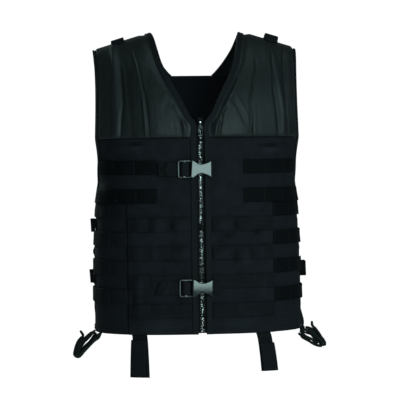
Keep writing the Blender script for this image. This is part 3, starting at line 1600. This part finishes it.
def block_into(bm, shape, rim, segments):
    """Adds a cube, gives each of its points the place that shape(corner) says, and rounds its edges."""
    made = bmesh.ops.create_cube(bm, size=1.0)["verts"]
    for v in made:
        v.co = shape(v.co)
    edges = list({e for v in made for e in v.link_edges})
    bmesh.ops.bevel(bm, geom=edges, offset=rim, segments=segments, affect="EDGES", profile=0.5, material=-1)


def tooth_into(bm, x, z, side):
    """One tooth: a block that narrows to a rounded nose on the far side of the middle line."""
    y = front_y(z, TEETH_FRONT) + TOOTH_DEPTH / 2
    lean = float(np.interp(z, *zip(*ZIP_WAVES)))

    def shape(corner):
        nose = corner.x * side < 0
        up = corner.z * (NOSE_HEIGHT if nose else TOOTH_HEIGHT)
        depth = corner.y * TOOTH_DEPTH * (0.8 if nose else 1.0) + (0.0 if nose else TOOTH_SLOPE[side])
        return Vector((x + corner.x * TOOTH_WIDTH, y + depth - lean * up, z + up))

    block_into(bm, shape, 0.0003, 2)


def zip_chain():
    bm = cloth_bmesh()
    count = int((ZIP_TOP_Z - ZIP_BOTTOM_Z) / TOOTH_PITCH)
    for k in range(count):
        for side in (-1, 1):
            z = ZIP_BOTTOM_Z + 0.0028 + k * TOOTH_PITCH + (TOOTH_PITCH / 2 if side > 0 else 0.0)
            tooth_into(bm, side * 0.0015, z, side)
    y = front_y(ZIP_BOTTOM_Z, TEETH_FRONT)

    def stop(corner):
        depth = 0.0014 + corner.y * 0.0022 - corner.z * STOP_LEAN
        return Vector((corner.x * 0.0084, y + depth, ZIP_BOTTOM_Z + 0.0008 + corner.z * 0.0030))

    block_into(bm, stop, 0.0006, 3)
    obj = new_piece("zip_teeth", bm, "teeth_metal")
    finish_piece(obj, ["zip_chain"])
    print("teeth:", 2 * count, "faces:", len(obj.data.polygons))


for side in (-1, 1):
    zip_tape(side)
zip_chain()

# %% [markdown]
# ## Flat plates with rounded rims
#
# Buckles and the pull tab are plates with a shaped outline. A filled 2-D curve gives the plate and its
# holes, and the curve's own bevel rounds every rim. The plate is then cut into strips and crowned, because
# moulded parts are never quite flat, and a crowned face is what shows a soft light as a long highlight.

# %% A plate from a curve


def rounded(points, radius, steps=4):
    """The outline with its corners rounded."""
    result = []
    for k in range(len(points)):
        before, at, after = (np.array(points[(k + n) % len(points)], float) for n in (-1, 0, 1))
        r = min(radius, 0.42 * np.linalg.norm(before - at), 0.42 * np.linalg.norm(after - at))
        a = at + (before - at) / np.linalg.norm(before - at) * r
        b = at + (after - at) / np.linalg.norm(after - at) * r
        for n in range(steps + 1):
            t = n / steps
            result.append(tuple(a * (1 - t) ** 2 + 2 * at * t * (1 - t) + b * t * t))
    return result


def curve_mesh(data, paths, closed):
    """The mesh of a curve's data, with a line through each path's points."""
    for path in paths:
        spline = data.splines.new("POLY")
        spline.points.add(len(path) - 1)
        for spot, at in zip(spline.points, path):
            spot.co = (*at, 1)
        spline.use_cyclic_u = closed
    curve = new_object(data.name, data)
    bpy.context.view_layer.update()
    mesh = bpy.data.meshes.new_from_object(curve.evaluated_get(bpy.context.evaluated_depsgraph_get()))
    bpy.data.objects.remove(curve)
    return mesh


def plate(outline, holes, thickness, rim, corner):
    """A plate in the XZ plane, its front towards -Y, as a bmesh."""
    data = bpy.data.curves.new("plate_outline", "CURVE")
    data.dimensions = "2D"
    data.fill_mode = "BOTH"
    data.extrude = thickness / 2 - rim
    data.bevel_depth = rim
    data.bevel_resolution = 2
    data.offset = -rim
    edges = [rounded(outline, corner)] + [rounded(hole, corner * 0.6) for hole in holes]
    mesh = curve_mesh(data, [[(x, z, 0) for x, z in edge] for edge in edges], closed=True)
    bm = bmesh.new()
    bm.from_mesh(mesh)
    bpy.data.meshes.remove(mesh)
    bmesh.ops.remove_doubles(bm, verts=bm.verts, dist=0.00001)
    for v in bm.verts:
        v.co = (v.co.x, -v.co.z, v.co.y)
    return bm


def shift(bm, x, y, z):
    bmesh.ops.translate(bm, verts=bm.verts, vec=(x, y, z))
    return bm


def cut_strips(bm, axis, values):
    """Cuts the plate across at the given places, so that it can be bent."""
    for value in values:
        point, normal = Vector((0, 0, 0)), Vector((0, 0, 0))
        point[axis], normal[axis] = value, 1.0
        geom = bm.verts[:] + bm.edges[:] + bm.faces[:]
        bmesh.ops.bisect_plane(bm, geom=geom, plane_co=point, plane_no=normal, dist=0.00002)


print("a plate outline of 4 corners gets", len(rounded([(0, 0), (1, 0), (1, 1), (0, 1)], 0.1)), "points")

# %% [markdown]
# ## Side-release buckles
#
# Two 25 mm buckles, fastened. The female half is an hourglass: a pocket, a waist where the prongs'
# shoulders show and can be pinched, and a flared end that covers the sewn tab. The male half is a ladder
# frame with two bars, whose prongs start inside the body. Both are thick moulded nylon with generous radii,
# which is why the studio light lies on them as one broad glow.

# %% Buckles
BUCKLE_HEIGHT = 0.0317
BUCKLE_LEFT_X = -0.0415
BODY_LEFT_X = -0.0182
BODY_RIGHT_X = 0.0184
FRAME_RISE = 0.0089
FRAME_THICK = 0.0038
BODY_THICK = 0.0090
PRONG_ROOT_X = -0.0150
WINDOW_HALF = 0.01285
WINDOWS = ((-0.0380, -0.0318), (-0.0272, -0.0184))
STRAP_WIDTH = 0.0246
CROWN = 0.0003


def both_halves(half):
    """A closed outline from the points of its upper half."""
    return half + [(x, -z) for x, z in reversed(half)]


def set_plate(name, bm, z, node, finish):
    shift(bm, 0, front_y(z, FRAME_RISE), z)
    bmesh.ops.recalc_face_normals(bm, faces=bm.faces)
    obj = new_piece(name, bm, finish)
    obj.data.set_sharp_from_angle(angle=math.radians(42))
    finish_piece(obj, [node])


def buckle_frame(prefix, z):
    half = BUCKLE_HEIGHT / 2
    upper = [
        (-0.0010, 0.0030), (-0.0135, 0.0034), (-0.0145, 0.0058), (-0.0060, 0.0066), (0.0030, 0.0088),
        (0.0010, 0.0112), (-0.0040, 0.0118), (-0.0080, 0.0104), (PRONG_ROOT_X, 0.0108),
        (PRONG_ROOT_X, half - 0.0014), (-0.0190, half - 0.0003), (-0.0205, half), (-0.0375, half),
        (-0.0402, half - 0.0012), (BUCKLE_LEFT_X, half - 0.0040),
    ]
    up = WINDOW_HALF
    holes = [[(left, -up), (right, -up), (right, up), (left, up)] for left, right in WINDOWS]
    bm = plate(both_halves(upper), holes, FRAME_THICK, 0.0011, 0.0016)
    set_plate(f"moulded_{prefix}_frame", bm, z, f"{prefix}_buckle_frame", "frame_plastic")


def buckle_body(prefix, z):
    full, waist, flare = BUCKLE_HEIGHT / 2, 0.0084, 0.0148
    upper = [
        (BODY_RIGHT_X, flare - 0.0008), (BODY_RIGHT_X - 0.0008, flare), (0.0135, 0.0124), (0.0085, 0.0103),
        (0.0045, 0.0090), (0.0000, waist), (-0.0050, 0.0092), (-0.0095, 0.0130), (-0.0130, full - 0.0006),
        (BODY_LEFT_X + 0.0010, full), (BODY_LEFT_X, full - 0.0010),
    ]
    bm = plate(both_halves(upper), [], BODY_THICK, 0.0012, 0.0012)
    cut_strips(bm, 2, [full * (i / 8 - 1) for i in range(1, 16)])
    cut_strips(bm, 0, [-0.014, -0.009, -0.004, 0.001, 0.006, 0.010, 0.014])
    for v in bm.verts:
        if v.co.y < 0:
            share = min(1.0, abs(v.co.z) / full)
            v.co.y += CROWN * (share**2 - 0.35)
    set_plate(f"moulded_{prefix}_body", bm, z, f"{prefix}_buckle_body", "buckle_plastic")


for prefix, z in (("upper", UPPER_BUCKLE_Z), ("lower", LOWER_BUCKLE_Z)):
    buckle_frame(prefix, z)
    buckle_body(prefix, z)


# %% [markdown]
# ## Buckle straps
#
# The strap on the left is sewn to the panel, humps where it was folded, and threads up through the ladder
# and down behind its bar. The short tab on the right goes in under the body's end. The upper strap's hump
# stands higher and casts the dark triangle that the photograph shows.

# %% Straps and tabs


def flat_front(z):
    """Places a strip whose path is (x, rise) in front of the zip line's height z."""
    base = front_y(z, 0.0)

    def place(x, rise, across):
        back = on_body(along_at_x(z, abs(x)), z, 0.0).y - base
        return Vector((x, base + back * ease((abs(x) - 0.040) / 0.015) - rise, z + across))

    return place


STRAP_SLANT = {"upper": 0.0, "lower": 0.0085}


def buckle_strap(prefix, z):
    rise = 0.0034
    path = [
        (-0.0755, rise), (-0.0710, rise + 0.0016), (-0.0670, rise + 0.0026), (-0.0630, rise + 0.0010),
        (-0.0590, rise), (-0.0500, rise + 0.0004), (-0.0440, rise + 0.0010), (-0.0395, 0.0047),
        (-0.0365, 0.0060), (-0.0347, 0.0098), (-0.0330, 0.0119), (-0.0280, 0.0125), (-0.0230, 0.0119),
        (-0.0214, 0.0102), (-0.0210, 0.0076),
    ]
    flat = flat_front(z)
    half = STRAP_WIDTH / 2

    def place(x, depth, across):
        slant = STRAP_SLANT[prefix] * ease((-0.060 - x) / 0.014)
        return flat(x + slant * (across / half - 1) / 2, depth, across)

    def rub(x, across):
        if prefix == "upper":
            return 0.35 - 1.90 * bell(x + 0.0660 - 0.0050 * abs(across) / half, 0.0040)
        return 0.35 - 1.20 * bell(x + 0.0655 - 0.0030 * across / half, 0.0016)

    band_piece(f"webbing_{prefix}_strap", path, STRAP_WIDTH, place, [f"{prefix}_buckle_strap"], rub=rub)
    tack(place, -0.0600, rise + WEB / 2 + 0.0003, 0.021)
    tack(place, -0.0560, rise + WEB / 2 + 0.0003, 0.021)


def buckle_tab(prefix, z):
    rise = 0.0032
    path = [(0.0320, rise - 0.0002), (0.0250, rise), (0.0186, rise), (0.0110, rise)]
    place = flat_front(z)
    band_piece(f"webbing_{prefix}_tab", path, STRAP_WIDTH, place, [f"{prefix}_buckle_tab"])
    tack(place, 0.0285, rise + WEB / 2 + 0.0002, 0.021)


for prefix, z in (("upper", UPPER_BUCKLE_Z), ("lower", LOWER_BUCKLE_Z)):
    buckle_strap(prefix, z)
    buckle_tab(prefix, z)


# %% [markdown]
# ## Shoulder keepers and belt straps
#
# A flat loop crosses the top of each shoulder, tacked at both ends, to hold a strap or a tube. Below the
# hem two wide straps hang from inside, fold forwards and come up again, ready for a belt.

# %% Keepers
KEEPER_X = 0.137
KEEPER_REACH = 0.030
KEEPER_STAND = {-1: 0.0034, 1: 0.0082}
KEEPER_GAP = {-1: 0.0005, 1: -0.0001}


def shoulder_keeper(side):
    centre = along_at_x(YOKE_Z, KEEPER_X)
    path = []
    for i in range(25):
        t = TOP_OF_SHOULDER + KEEPER_REACH * (2 * i / 24 - 1)
        stand = KEEPER_STAND[side] * ease(1.25 * math.sin(math.pi * i / 24))
        path.append((t, PAD_RISE[side] + KEEPER_GAP[side] + 0.0003 + WEB / 2 + stand))

    def place(t, rise, across):
        return mirrored(side, on_yoke(centre + across, t, rise))

    name = f"shoulder_keeper_{side_name(side)}"
    band_piece(f"webbing_{name}", path, WEB_WIDTH, place, [name])
    for end in (-1, 1):
        tack(place, TOP_OF_SHOULDER + end * (KEEPER_REACH - 0.003), PAD_RISE[side] + WEB + 0.0012, 0.022)


for side in (-1, 1):
    shoulder_keeper(side)


# %% Belt straps
BELT_FOLD = 0.0056
BELT_WIDTH = 0.0270
Belt = namedtuple("Belt", "side x fold_z end_z skew_back skew_front gap")
BELTS = (
    Belt(-1, -0.1115, -0.5960, -0.5290, 0.0040, -0.0040, 0.0016),
    Belt(1, 0.1085, -0.5890, -0.5385, 0.0100, 0.0140, 0.0025),
)


def belt_strap(belt):
    z_hem = HEM_Z + 0.014
    back = SIDE_DEPTH - CLOTH - belt.gap - WEB / 2
    front = back + BELT_FOLD
    down = [(z_hem - (z_hem - belt.fold_z - 0.004) * i / 4, back + 0.0004 * i) for i in range(5)]
    low = (back + 0.0016 + front) / 2
    turning_z = belt.fold_z + 0.0012
    turn = [(turning_z, back + 0.0018), (belt.fold_z, low), (turning_z, front - 0.0002)]
    up = [(z, front) for z in shared(belt.fold_z + 0.004, belt.end_z, 3)]

    def place(z, rise, across):
        share = (HEM_Z - z) / (HEM_Z - belt.fold_z)
        skew = belt.skew_back if rise < low else belt.skew_front
        lean = skew * max(0.0, share) ** 0.5
        level = round(max(z, HEM_Z), 5)
        hung = on_body(along_at_x(level, round(abs(belt.x + across), 6)), level, rise)
        return Vector((belt.x + lean + across, hung.y, z))

    name = f"belt_strap_{side_name(belt.side)}"
    band_piece(f"webbing_{name}", down + turn + up, BELT_WIDTH, place, [name])
    steps = [(belt.end_z - 0.004 + 0.0009 * (k % 2), 0.0115 - 0.023 * k / 24) for k in range(25)]
    THREADS["tacks"].append([place(z, front + WEB / 2 + 0.0002, across) for z, across in steps])


for belt in BELTS:
    belt_strap(belt)


# %% [markdown]
# ## Cords
#
# The lace runs crosswise through the loops of each side and is tied at the hem; what is left over hangs in
# the bow's loops and a short free end. Each cord is a tube on a smooth curve through its route. Its UV map
# runs along and round it, so that the braid's ribs follow every bend.

# %% A cord on its route
CORD = 0.0052
CROSSING = 0.0029
KNOT_SIZE = (0.0055, 0.0055, 0.0098)
KNOTS = {-1: Vector((-0.1850, 0.0060, -0.5140)), 1: Vector((0.1945, 0.0060, -0.5290))}
CORD_SIDES = 12
CORD_END = {0: 0.72, 1: 0.94}
KNOT_TURNS = 3
KNOT_SWELL = 0.10


def wound_knot(side):
    """The tied knot: a ball that swells in three slanted turns."""
    knot = KNOTS[side]
    bm = cloth_bmesh()
    uv = bm.loops.layers.uv["cloth"]
    bmesh.ops.create_icosphere(bm, subdivisions=3, radius=1.0)
    for v in bm.verts:
        turn = math.atan2(v.co.y, v.co.x) / (2 * math.pi)
        swell = 1.0 + KNOT_SWELL * math.cos(KNOT_TURNS * 2 * math.pi * (v.co.z * 0.5 + turn * 0.33))
        v.co = knot + Vector([c * size * swell * 0.95 for c, size in zip(v.co, KNOT_SIZE)])
    for f in bm.faces:
        for loop in f.loops:
            away = loop.vert.co - knot
            loop[uv].uv = (math.atan2(away.y, away.x) * 0.0055, away.z)
    obj = new_piece(f"knot_{side_name(side)}", bm, "braided_cord")
    return finish_piece(obj, [])


def cord_tube(name, route, far_end, tied=()):
    """A round cord on a smooth curve through its route, and the knots of the sides where it is tied."""
    line = [Vector(p) for p in curve_through(route, 0.6 * CORD)]
    ny = len(line) - 1
    tangents = [(line[min(k + 1, ny)] - line[max(k - 1, 0)]).normalized() for k in range(ny + 1)]
    aside = tangents[0].orthogonal().normalized()
    frames = []
    for tangent in tangents:
        aside = (aside - tangent * aside.dot(tangent)).normalized()
        frames.append((aside, tangent.cross(aside)))
    length = run_length(line)

    def uv_at(i, j):
        return length[j], math.pi * CORD * i / CORD_SIDES

    def point_at(i, j):
        angle = 2 * math.pi * i / CORD_SIDES
        radius = CORD / 2 * CORD_END.get(min(j, ny - j), 1.0)
        return line[j] + (frames[j][0] * math.cos(angle) + frames[j][1] * math.sin(angle)) * radius

    bm = cloth_bmesh()
    tube_into(bm, CORD_SIDES, ny, uv_at, point_at)
    bmesh.ops.recalc_face_normals(bm, faces=bm.faces)
    obj = finish_piece(new_piece(f"braided_{name}", bm, "braided_cord"), [name])
    tuple(line[0])
    [tuple(p) for p in line]
    [wound_knot(side) for side in tied]
    print(obj.name, "length, m:", round(length[-1], 3))


# %% The lace


def lacing_place(side, which, z, rise=0.0):
    """The middle of a lacing loop's tunnel: which is 0 for the side flap's loops, 1 for the back's."""
    s = back_edge(z) - LOOP_REACH if which else front_edge(z) + LOOP_REACH
    return on_side(side, s, z, SIDE_DEPTH - CLOTH / 2 + rise)


def strand(side, which):
    """One end of the lace, down from the top loops, changing sides between the loops."""
    points = []
    for number in range(4):
        z = SIDE_ROW_TOP_Z - ROW_PITCH * number
        at = (which + number) % 2
        for share in (0.58, 0.0, -0.58):
            points.append(lacing_place(side, at, z + share * WEB_WIDTH))
        if number < 3:
            z_between = z - ROW_PITCH / 2
            over = CROSSING if which == number % 2 else -CROSSING
            a = lacing_place(side, at, z_between, over)
            b = lacing_place(side, 1 - at, z_between, over)
            points.append((a + b) / 2)
    return points


def lace(side):
    knot = KNOTS[side]
    top = SIDE_ROW_TOP_Z + WEB_WIDTH / 2 + 0.010
    crown = [
        lacing_place(side, 0, top - 0.004) + Vector((0, 0.0015, 0)),
        (lacing_place(side, 0, top + 0.001) + lacing_place(side, 1, top + 0.001)) / 2,
        lacing_place(side, 1, top - 0.004) - Vector((0, 0.0015, 0)),
    ]
    first, second = strand(side, 0), strand(side, 1)

    def down(last, y):
        return [last + Vector((0, 0, -0.014)), *(knot + Vector((0, y, up)) for up in (0.018, 0.008))]

    route = [*reversed(down(second[-1], -0.0026)), *reversed(second), *reversed(crown)]
    route += [*first, *down(first[-1], 0.0026)]
    cord_tube(f"lacing_cord_{side_name(side)}", route, "object", [side])


for side in (-1, 1):
    lace(side)


# %% The bows
# each route is a line of (x, y, z) places in millimetres, from the knot outwards and back
BOW_LOOP_LEFT = (
    (-189.2, 10, -521.5), (-192.6, 10.1, -525.3), (-197.8, 9.5, -531.3), (-203, 9, -536.7),
    (-209.5, 8.3, -542.9), (-213.8, 7.5, -549.1), (-218.2, 5.6, -555.6), (-220, 7.8, -561.3),
    (-216.9, 10.6, -561.7), (-214.6, 12, -558), (-207.5, 11.1, -550.4), (-199.7, 10.5, -543.5),
    (-194.5, 9.1, -536.7), (-190.7, 8.4, -531.4), (-188, 7.1, -529.1), (-188.9, 4.3, -527.2),
    (-194.5, 3.8, -525), (-201.3, 3.3, -529.5), (-207.1, 2.6, -534.5), (-213.6, 2.1, -539.7),
    (-218.5, 1.8, -547.2), (-222, 1.2, -555), (-224, 1.1, -562.5), (-219, 0.8, -564.5), (-212.8, 0.6, -559),
    (-205, 0.4, -551.7), (-196.6, 0.4, -545.5), (-190.6, 0.6, -536.4), (-185.7, 0.9, -531),
    (-179.7, 1.2, -526.8),
)
BOW_END_LEFT = (
    (-175.6, 11, -516.5), (-180.2, 8.6, -530.3), (-183.3, 7.6, -535.8), (-190.2, 6.6, -540.4),
    (-197.6, 6.2, -547.2), (-204.9, 6.2, -554.9), (-211.4, 6.1, -561.6), (-216.4, 6.1, -567.5),
    (-221.6, 6.1, -570), (-227.6, 6.1, -565.9), (-226.8, 6.2, -558.9), (-224.1, 6.2, -549.1),
    (-219.8, 6.2, -540.1), (-215.2, 6.3, -535), (-210.9, 6.3, -531.3), (-213.6, 6.2, -525.6),
    (-216.4, 6, -521.5),
)
BOW_LOOP_RIGHT = (
    (199.8, 11, -533.9), (203.8, 10.3, -535.1), (210.3, 9.3, -537.1), (215.2, 8.2, -542.5),
    (219.7, 7.9, -547.4), (222.2, 4.5, -553.5), (217.1, 1.8, -551.3), (212.7, -1, -546.6),
    (205.8, -3, -543.3), (199.6, -3.6, -540.1), (194.6, -4.1, -535.9), (191.9, -3.9, -529.3),
    (196.4, -3.7, -527.7), (204.7, -3.4, -529.3), (211.9, -3.2, -532.9), (217.8, -3.1, -540),
    (224.5, -2.9, -545.6), (229.9, -2.8, -552), (228.5, -2.7, -558.2), (220.3, -2.6, -557),
    (212.6, -2.4, -553.5), (205.8, 0.3, -549), (198.2, 0.3, -544.8), (192.8, 0.3, -541.3),
    (190.9, 0.2, -537.5), (187.9, 0.4, -536), (186.5, 0.6, -533.6),
)
BOW_END_RIGHT = (
    (200.3, 6.8, -524.6), (204.2, 7.3, -524.4), (207.6, 8.3, -525.9), (214.8, 9.4, -529.3),
    (220.1, 10.1, -535.7), (224.7, 10.5, -542.6), (225.6, 10.1, -549.9), (228.8, 9.2, -556.4),
    (236.7, 8.2, -557.5), (234.9, 7.2, -550.5), (229.4, 6.1, -542.9), (223.6, 5.6, -533.5),
    (218.1, 5.5, -526.2), (212.9, 5.8, -521), (212.3, 6, -512.7),
)
BOWS = (
    ("bow_loop_left", BOW_LOOP_LEFT, "object"),
    ("bow_end_left", BOW_END_LEFT, "bare"),
    ("bow_loop_right", BOW_LOOP_RIGHT, "object"),
    ("bow_end_right", BOW_END_RIGHT, "bare"),
)

for name, table, far_end in BOWS:
    cord_tube(name, [Vector(row) / 1000 for row in table], far_end)


# %% [markdown]
# ## Slider and pull
#
# The slider straddles the teeth: a front plate narrower at its tail, two ears and a pin. The pull hangs
# from the pin and is the one piece that swings. Its eye goes round the pin, and the plate below has a slot
# to grip.

# %% Slider and pull tab
SLIDER_Z = -0.1450
PIN_RISE = 0.0034
PULL_LENGTH = 0.0240
EYE_RADIUS = 0.00125
EYE_WIDEN = 3.4
EYE_FLAT = -0.00135


def join_into(bm, other):
    """Adds one bmesh to another."""
    mesh = bpy.data.meshes.new("joined")
    other.to_mesh(mesh)
    other.free()
    bm.from_mesh(mesh)
    bpy.data.meshes.remove(mesh)


def pin_into(bm, length, y, z, radius):
    """A round pin across the middle line, its two rims bevelled."""
    made = bmesh.ops.create_cone(
        bm, cap_ends=True, segments=16, radius1=radius, radius2=radius, depth=length,
        matrix=Matrix.Translation((0, y, z)) @ Matrix.Rotation(math.pi / 2, 4, "Y"),
    )
    edges = {e for v in made["verts"] for e in v.link_edges}
    rims = [e for e in edges if len(e.link_faces) == 2 and e.calc_face_angle(0) > 1.0]
    bmesh.ops.bevel(bm, geom=rims, offset=radius / 4, segments=2, affect="EDGES", profile=0.5, material=-1)


def zip_slider():
    y = front_y(SLIDER_Z, 0.0)
    outline = [
        (-0.0048, 0.0085), (0.0048, 0.0085), (0.0052, 0.0030), (0.0036, -0.0070), (-0.0036, -0.0070),
        (-0.0052, 0.0030),
    ]
    ear_outline = [(-0.0018, -0.0014), (0.0018, -0.0014), (0.0018, 0.0026), (-0.0018, 0.0026)]
    bm = shift(plate(outline, [], 0.0016, 0.0005, 0.0022), 0, y - 0.0004, SLIDER_Z)
    join_into(bm, shift(plate(outline, [], 0.0014, 0.0004, 0.0022), 0, y + 0.0024, SLIDER_Z))
    for side in (-1, 1):
        ear = plate(ear_outline, [], 0.0012, 0.0003, 0.0014)
        for v in ear.verts:
            x, z = v.co.x, v.co.z
            v.co = Vector((side * 0.0030 + v.co.y, y - PIN_RISE + z, SLIDER_Z + x))
        join_into(bm, ear)
    pin_into(bm, 0.0070, y - PIN_RISE, SLIDER_Z, 0.0006)
    bmesh.ops.recalc_face_normals(bm, faces=bm.faces)
    obj = new_piece("zip_slider_body", bm, "black_enamel")
    obj.data.set_sharp_from_angle(angle=math.radians(40))
    finish_piece(obj, ["zip_slider"])


def zip_pull():
    y = front_y(SLIDER_Z, PIN_RISE)
    outline = [
        (-0.0018, -0.0006), (0.0018, -0.0006), (0.0018, -0.0040), (0.0046, -0.0068), (0.0046, -0.0215),
        (0.0036, -PULL_LENGTH), (-0.0036, -PULL_LENGTH), (-0.0046, -0.0215), (-0.0046, -0.0068),
        (-0.0018, -0.0040),
    ]
    hole = [(-0.0028, -0.0125), (0.0028, -0.0125), (0.0028, -0.0200), (-0.0028, -0.0200)]
    bm = plate(outline, [hole], 0.0014, 0.0004, 0.0012)
    eye = bmesh.new()
    start = Matrix.Translation((0, EYE_RADIUS, 0))
    bmesh.ops.create_circle(eye, cap_ends=False, segments=10, radius=0.00045, matrix=start)
    bmesh.ops.spin(
        eye, geom=eye.edges[:], cent=(0, 0, 0), axis=(1, 0, 0), angle=2 * math.pi, steps=20,
        use_merge=True, use_duplicate=False,
    )
    for v in eye.verts:
        v.co.x *= EYE_WIDEN
        v.co.y = max(v.co.y, EYE_FLAT)
    join_into(bm, eye)
    for f in bm.faces:
        height = f.calc_center_median().z
        f.material_index = 1 if height > -0.0004 or height < 0.0006 - PULL_LENGTH else 0
    shift(bm, 0, y, SLIDER_Z)
    bmesh.ops.recalc_face_normals(bm, faces=bm.faces)
    obj = new_piece("zip_pull_tab", bm, "dark_metal")
    obj.data.materials.append(FINISHES["bright_metal"])
    obj.data.set_sharp_from_angle(angle=math.radians(40))
    finish_piece(obj, ["zip_pull"], body="pull_tab")


zip_slider()
zip_pull()

# %% [markdown]
# ## Sewing it together
#
# All the gathered thread becomes two meshes: a curve with a spline for each stitch, a round bevel for the
# thread's thickness, then made a mesh so that it exports as plain faces.

# %% Threads
def sewn(name, paths):
    data = bpy.data.curves.new(name + "_curve", "CURVE")
    data.dimensions = "3D"
    data.bevel_depth = THREAD / 2
    data.bevel_resolution = 0
    data.use_fill_caps = False
    mesh = curve_mesh(data, paths, closed=False)
    mesh.name = name
    mesh.materials.clear()
    mesh.materials.append(FINISHES["sewing_thread"])
    mesh.shade_smooth()
    finish_piece(new_object(name, mesh), [])
    print(name, "bits:", len(paths), "faces:", len(mesh.polygons))


sewn("seam_stitches", THREADS["stitches"])
sewn("bar_tacks", THREADS["tacks"])

# %% [markdown]
# ## Floor and light
#
# The photograph has a plain white ground and broad soft light from above and in front. A pale sweep stands
# behind and below, and large lamps are placed as a studio would place them. A small one behind shows the
# back.

# %% Floor
SWEEP_LENGTH = 16.0
SWEEP_FLAT = 9.0
SWEEP_TURN = 3.0
SWEEP_RISE = 1.9
SWEEP_HALF_WIDTH = 9.0
SWEEP_FRONT_Y = -4.5
SWEEP_Z = -1.25
SEEN_GLOW = 0.92
ROOM_GLOW = 0.03


def seen_or_not(tree, seen, else_by):
    """A strength that is larger where the camera looks at the thing itself."""
    looked_at = tree.nodes.new("ShaderNodeLightPath").outputs["Is Camera Ray"]
    return math_node(tree, "ADD", math_node(tree, "MULTIPLY", looked_at, seen), else_by)


def pale_sweep():
    """White paper that lies flat, turns up in a quarter round and stands behind."""
    bm = bmesh.new()
    bmesh.ops.create_grid(bm, x_segments=2, y_segments=40, size=1.0)
    for v in bm.verts:
        along = (v.co.y + 1) * SWEEP_LENGTH / 2
        turn = min(1.0, max(0.0, (along - SWEEP_FLAT) / SWEEP_TURN)) * math.pi / 2
        v.co.x *= SWEEP_HALF_WIDTH
        v.co.y = SWEEP_FRONT_Y + min(along, SWEEP_FLAT) + SWEEP_RISE * math.sin(turn)
        v.co.z = SWEEP_Z + SWEEP_RISE * (1 - math.cos(turn)) + max(0.0, along - SWEEP_FLAT - SWEEP_TURN)
    bmesh.ops.recalc_face_normals(bm, faces=bm.faces)
    tree, shader, _ = blank_material("pale_paper")
    shader.inputs["Base Color"].default_value = (0.93, 0.93, 0.93, 1)
    shader.inputs["Roughness"].default_value = 0.9
    shader.inputs["Emission Color"].default_value = (1.0, 1.0, 1.0, 1)
    tree.links.new(seen_or_not(tree, SEEN_GLOW, ROOM_GLOW), shader.inputs["Emission Strength"])
    new_piece("pale_sweep", bm, "pale_paper")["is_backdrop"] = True


pale_sweep()

# %% Light
Lamp = namedtuple("Lamp", "name x y z aim_z width height power")
LAMPS = (
    Lamp("front", 0.60, -3.3, 0.05, -0.25, 1.35, 1.50, 37),
    Lamp("right", 2.30, -1.9, 0.30, -0.20, 0.9, 1.4, 10),
    Lamp("top", 0.3, -0.6, 1.9, -0.1, 1.4, 1.2, 7),
    Lamp("back", -1.5, 2.6, 0.9, -0.25, 0.8, 0.8, 14),
)
LAMP_COLOR = (0.68, 1.0, 0.98)
ROOM = 0.04


def lamp(row):
    data = bpy.data.lights.new(row.name, "AREA")
    data.shape = "RECTANGLE"
    data.size = row.width
    data.size_y = row.height
    data.energy = row.power
    data.color = LAMP_COLOR
    place = Vector((row.x, row.y, row.z))
    new_object(row.name, data).matrix_world = facing(place, Vector((0, 0, row.aim_z)))


def studio_world():
    """White where it is looked at, dim where it would light the vest: a room round a white ground."""
    world = bpy.data.worlds.new("studio")
    world.use_nodes = True
    tree = world.node_tree
    ground = tree.nodes["Background"]
    ground.inputs["Color"].default_value = (1.0, 1.0, 1.0, 1)
    tree.links.new(seen_or_not(tree, 1.0 - ROOM, ROOM), ground.inputs["Strength"])
    bpy.context.scene.world = world


for row in LAMPS:
    lamp(row)
studio_world()
bpy.context.scene.view_settings.view_transform = "Standard"
print("lamps:", len(LAMPS))

# %% The size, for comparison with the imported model
visual_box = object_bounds()
[[list(map(float, corner)) for corner in box] for box in (cad_box, visual_box)]
print("packed box:", cad_box, "visual box:", visual_box)
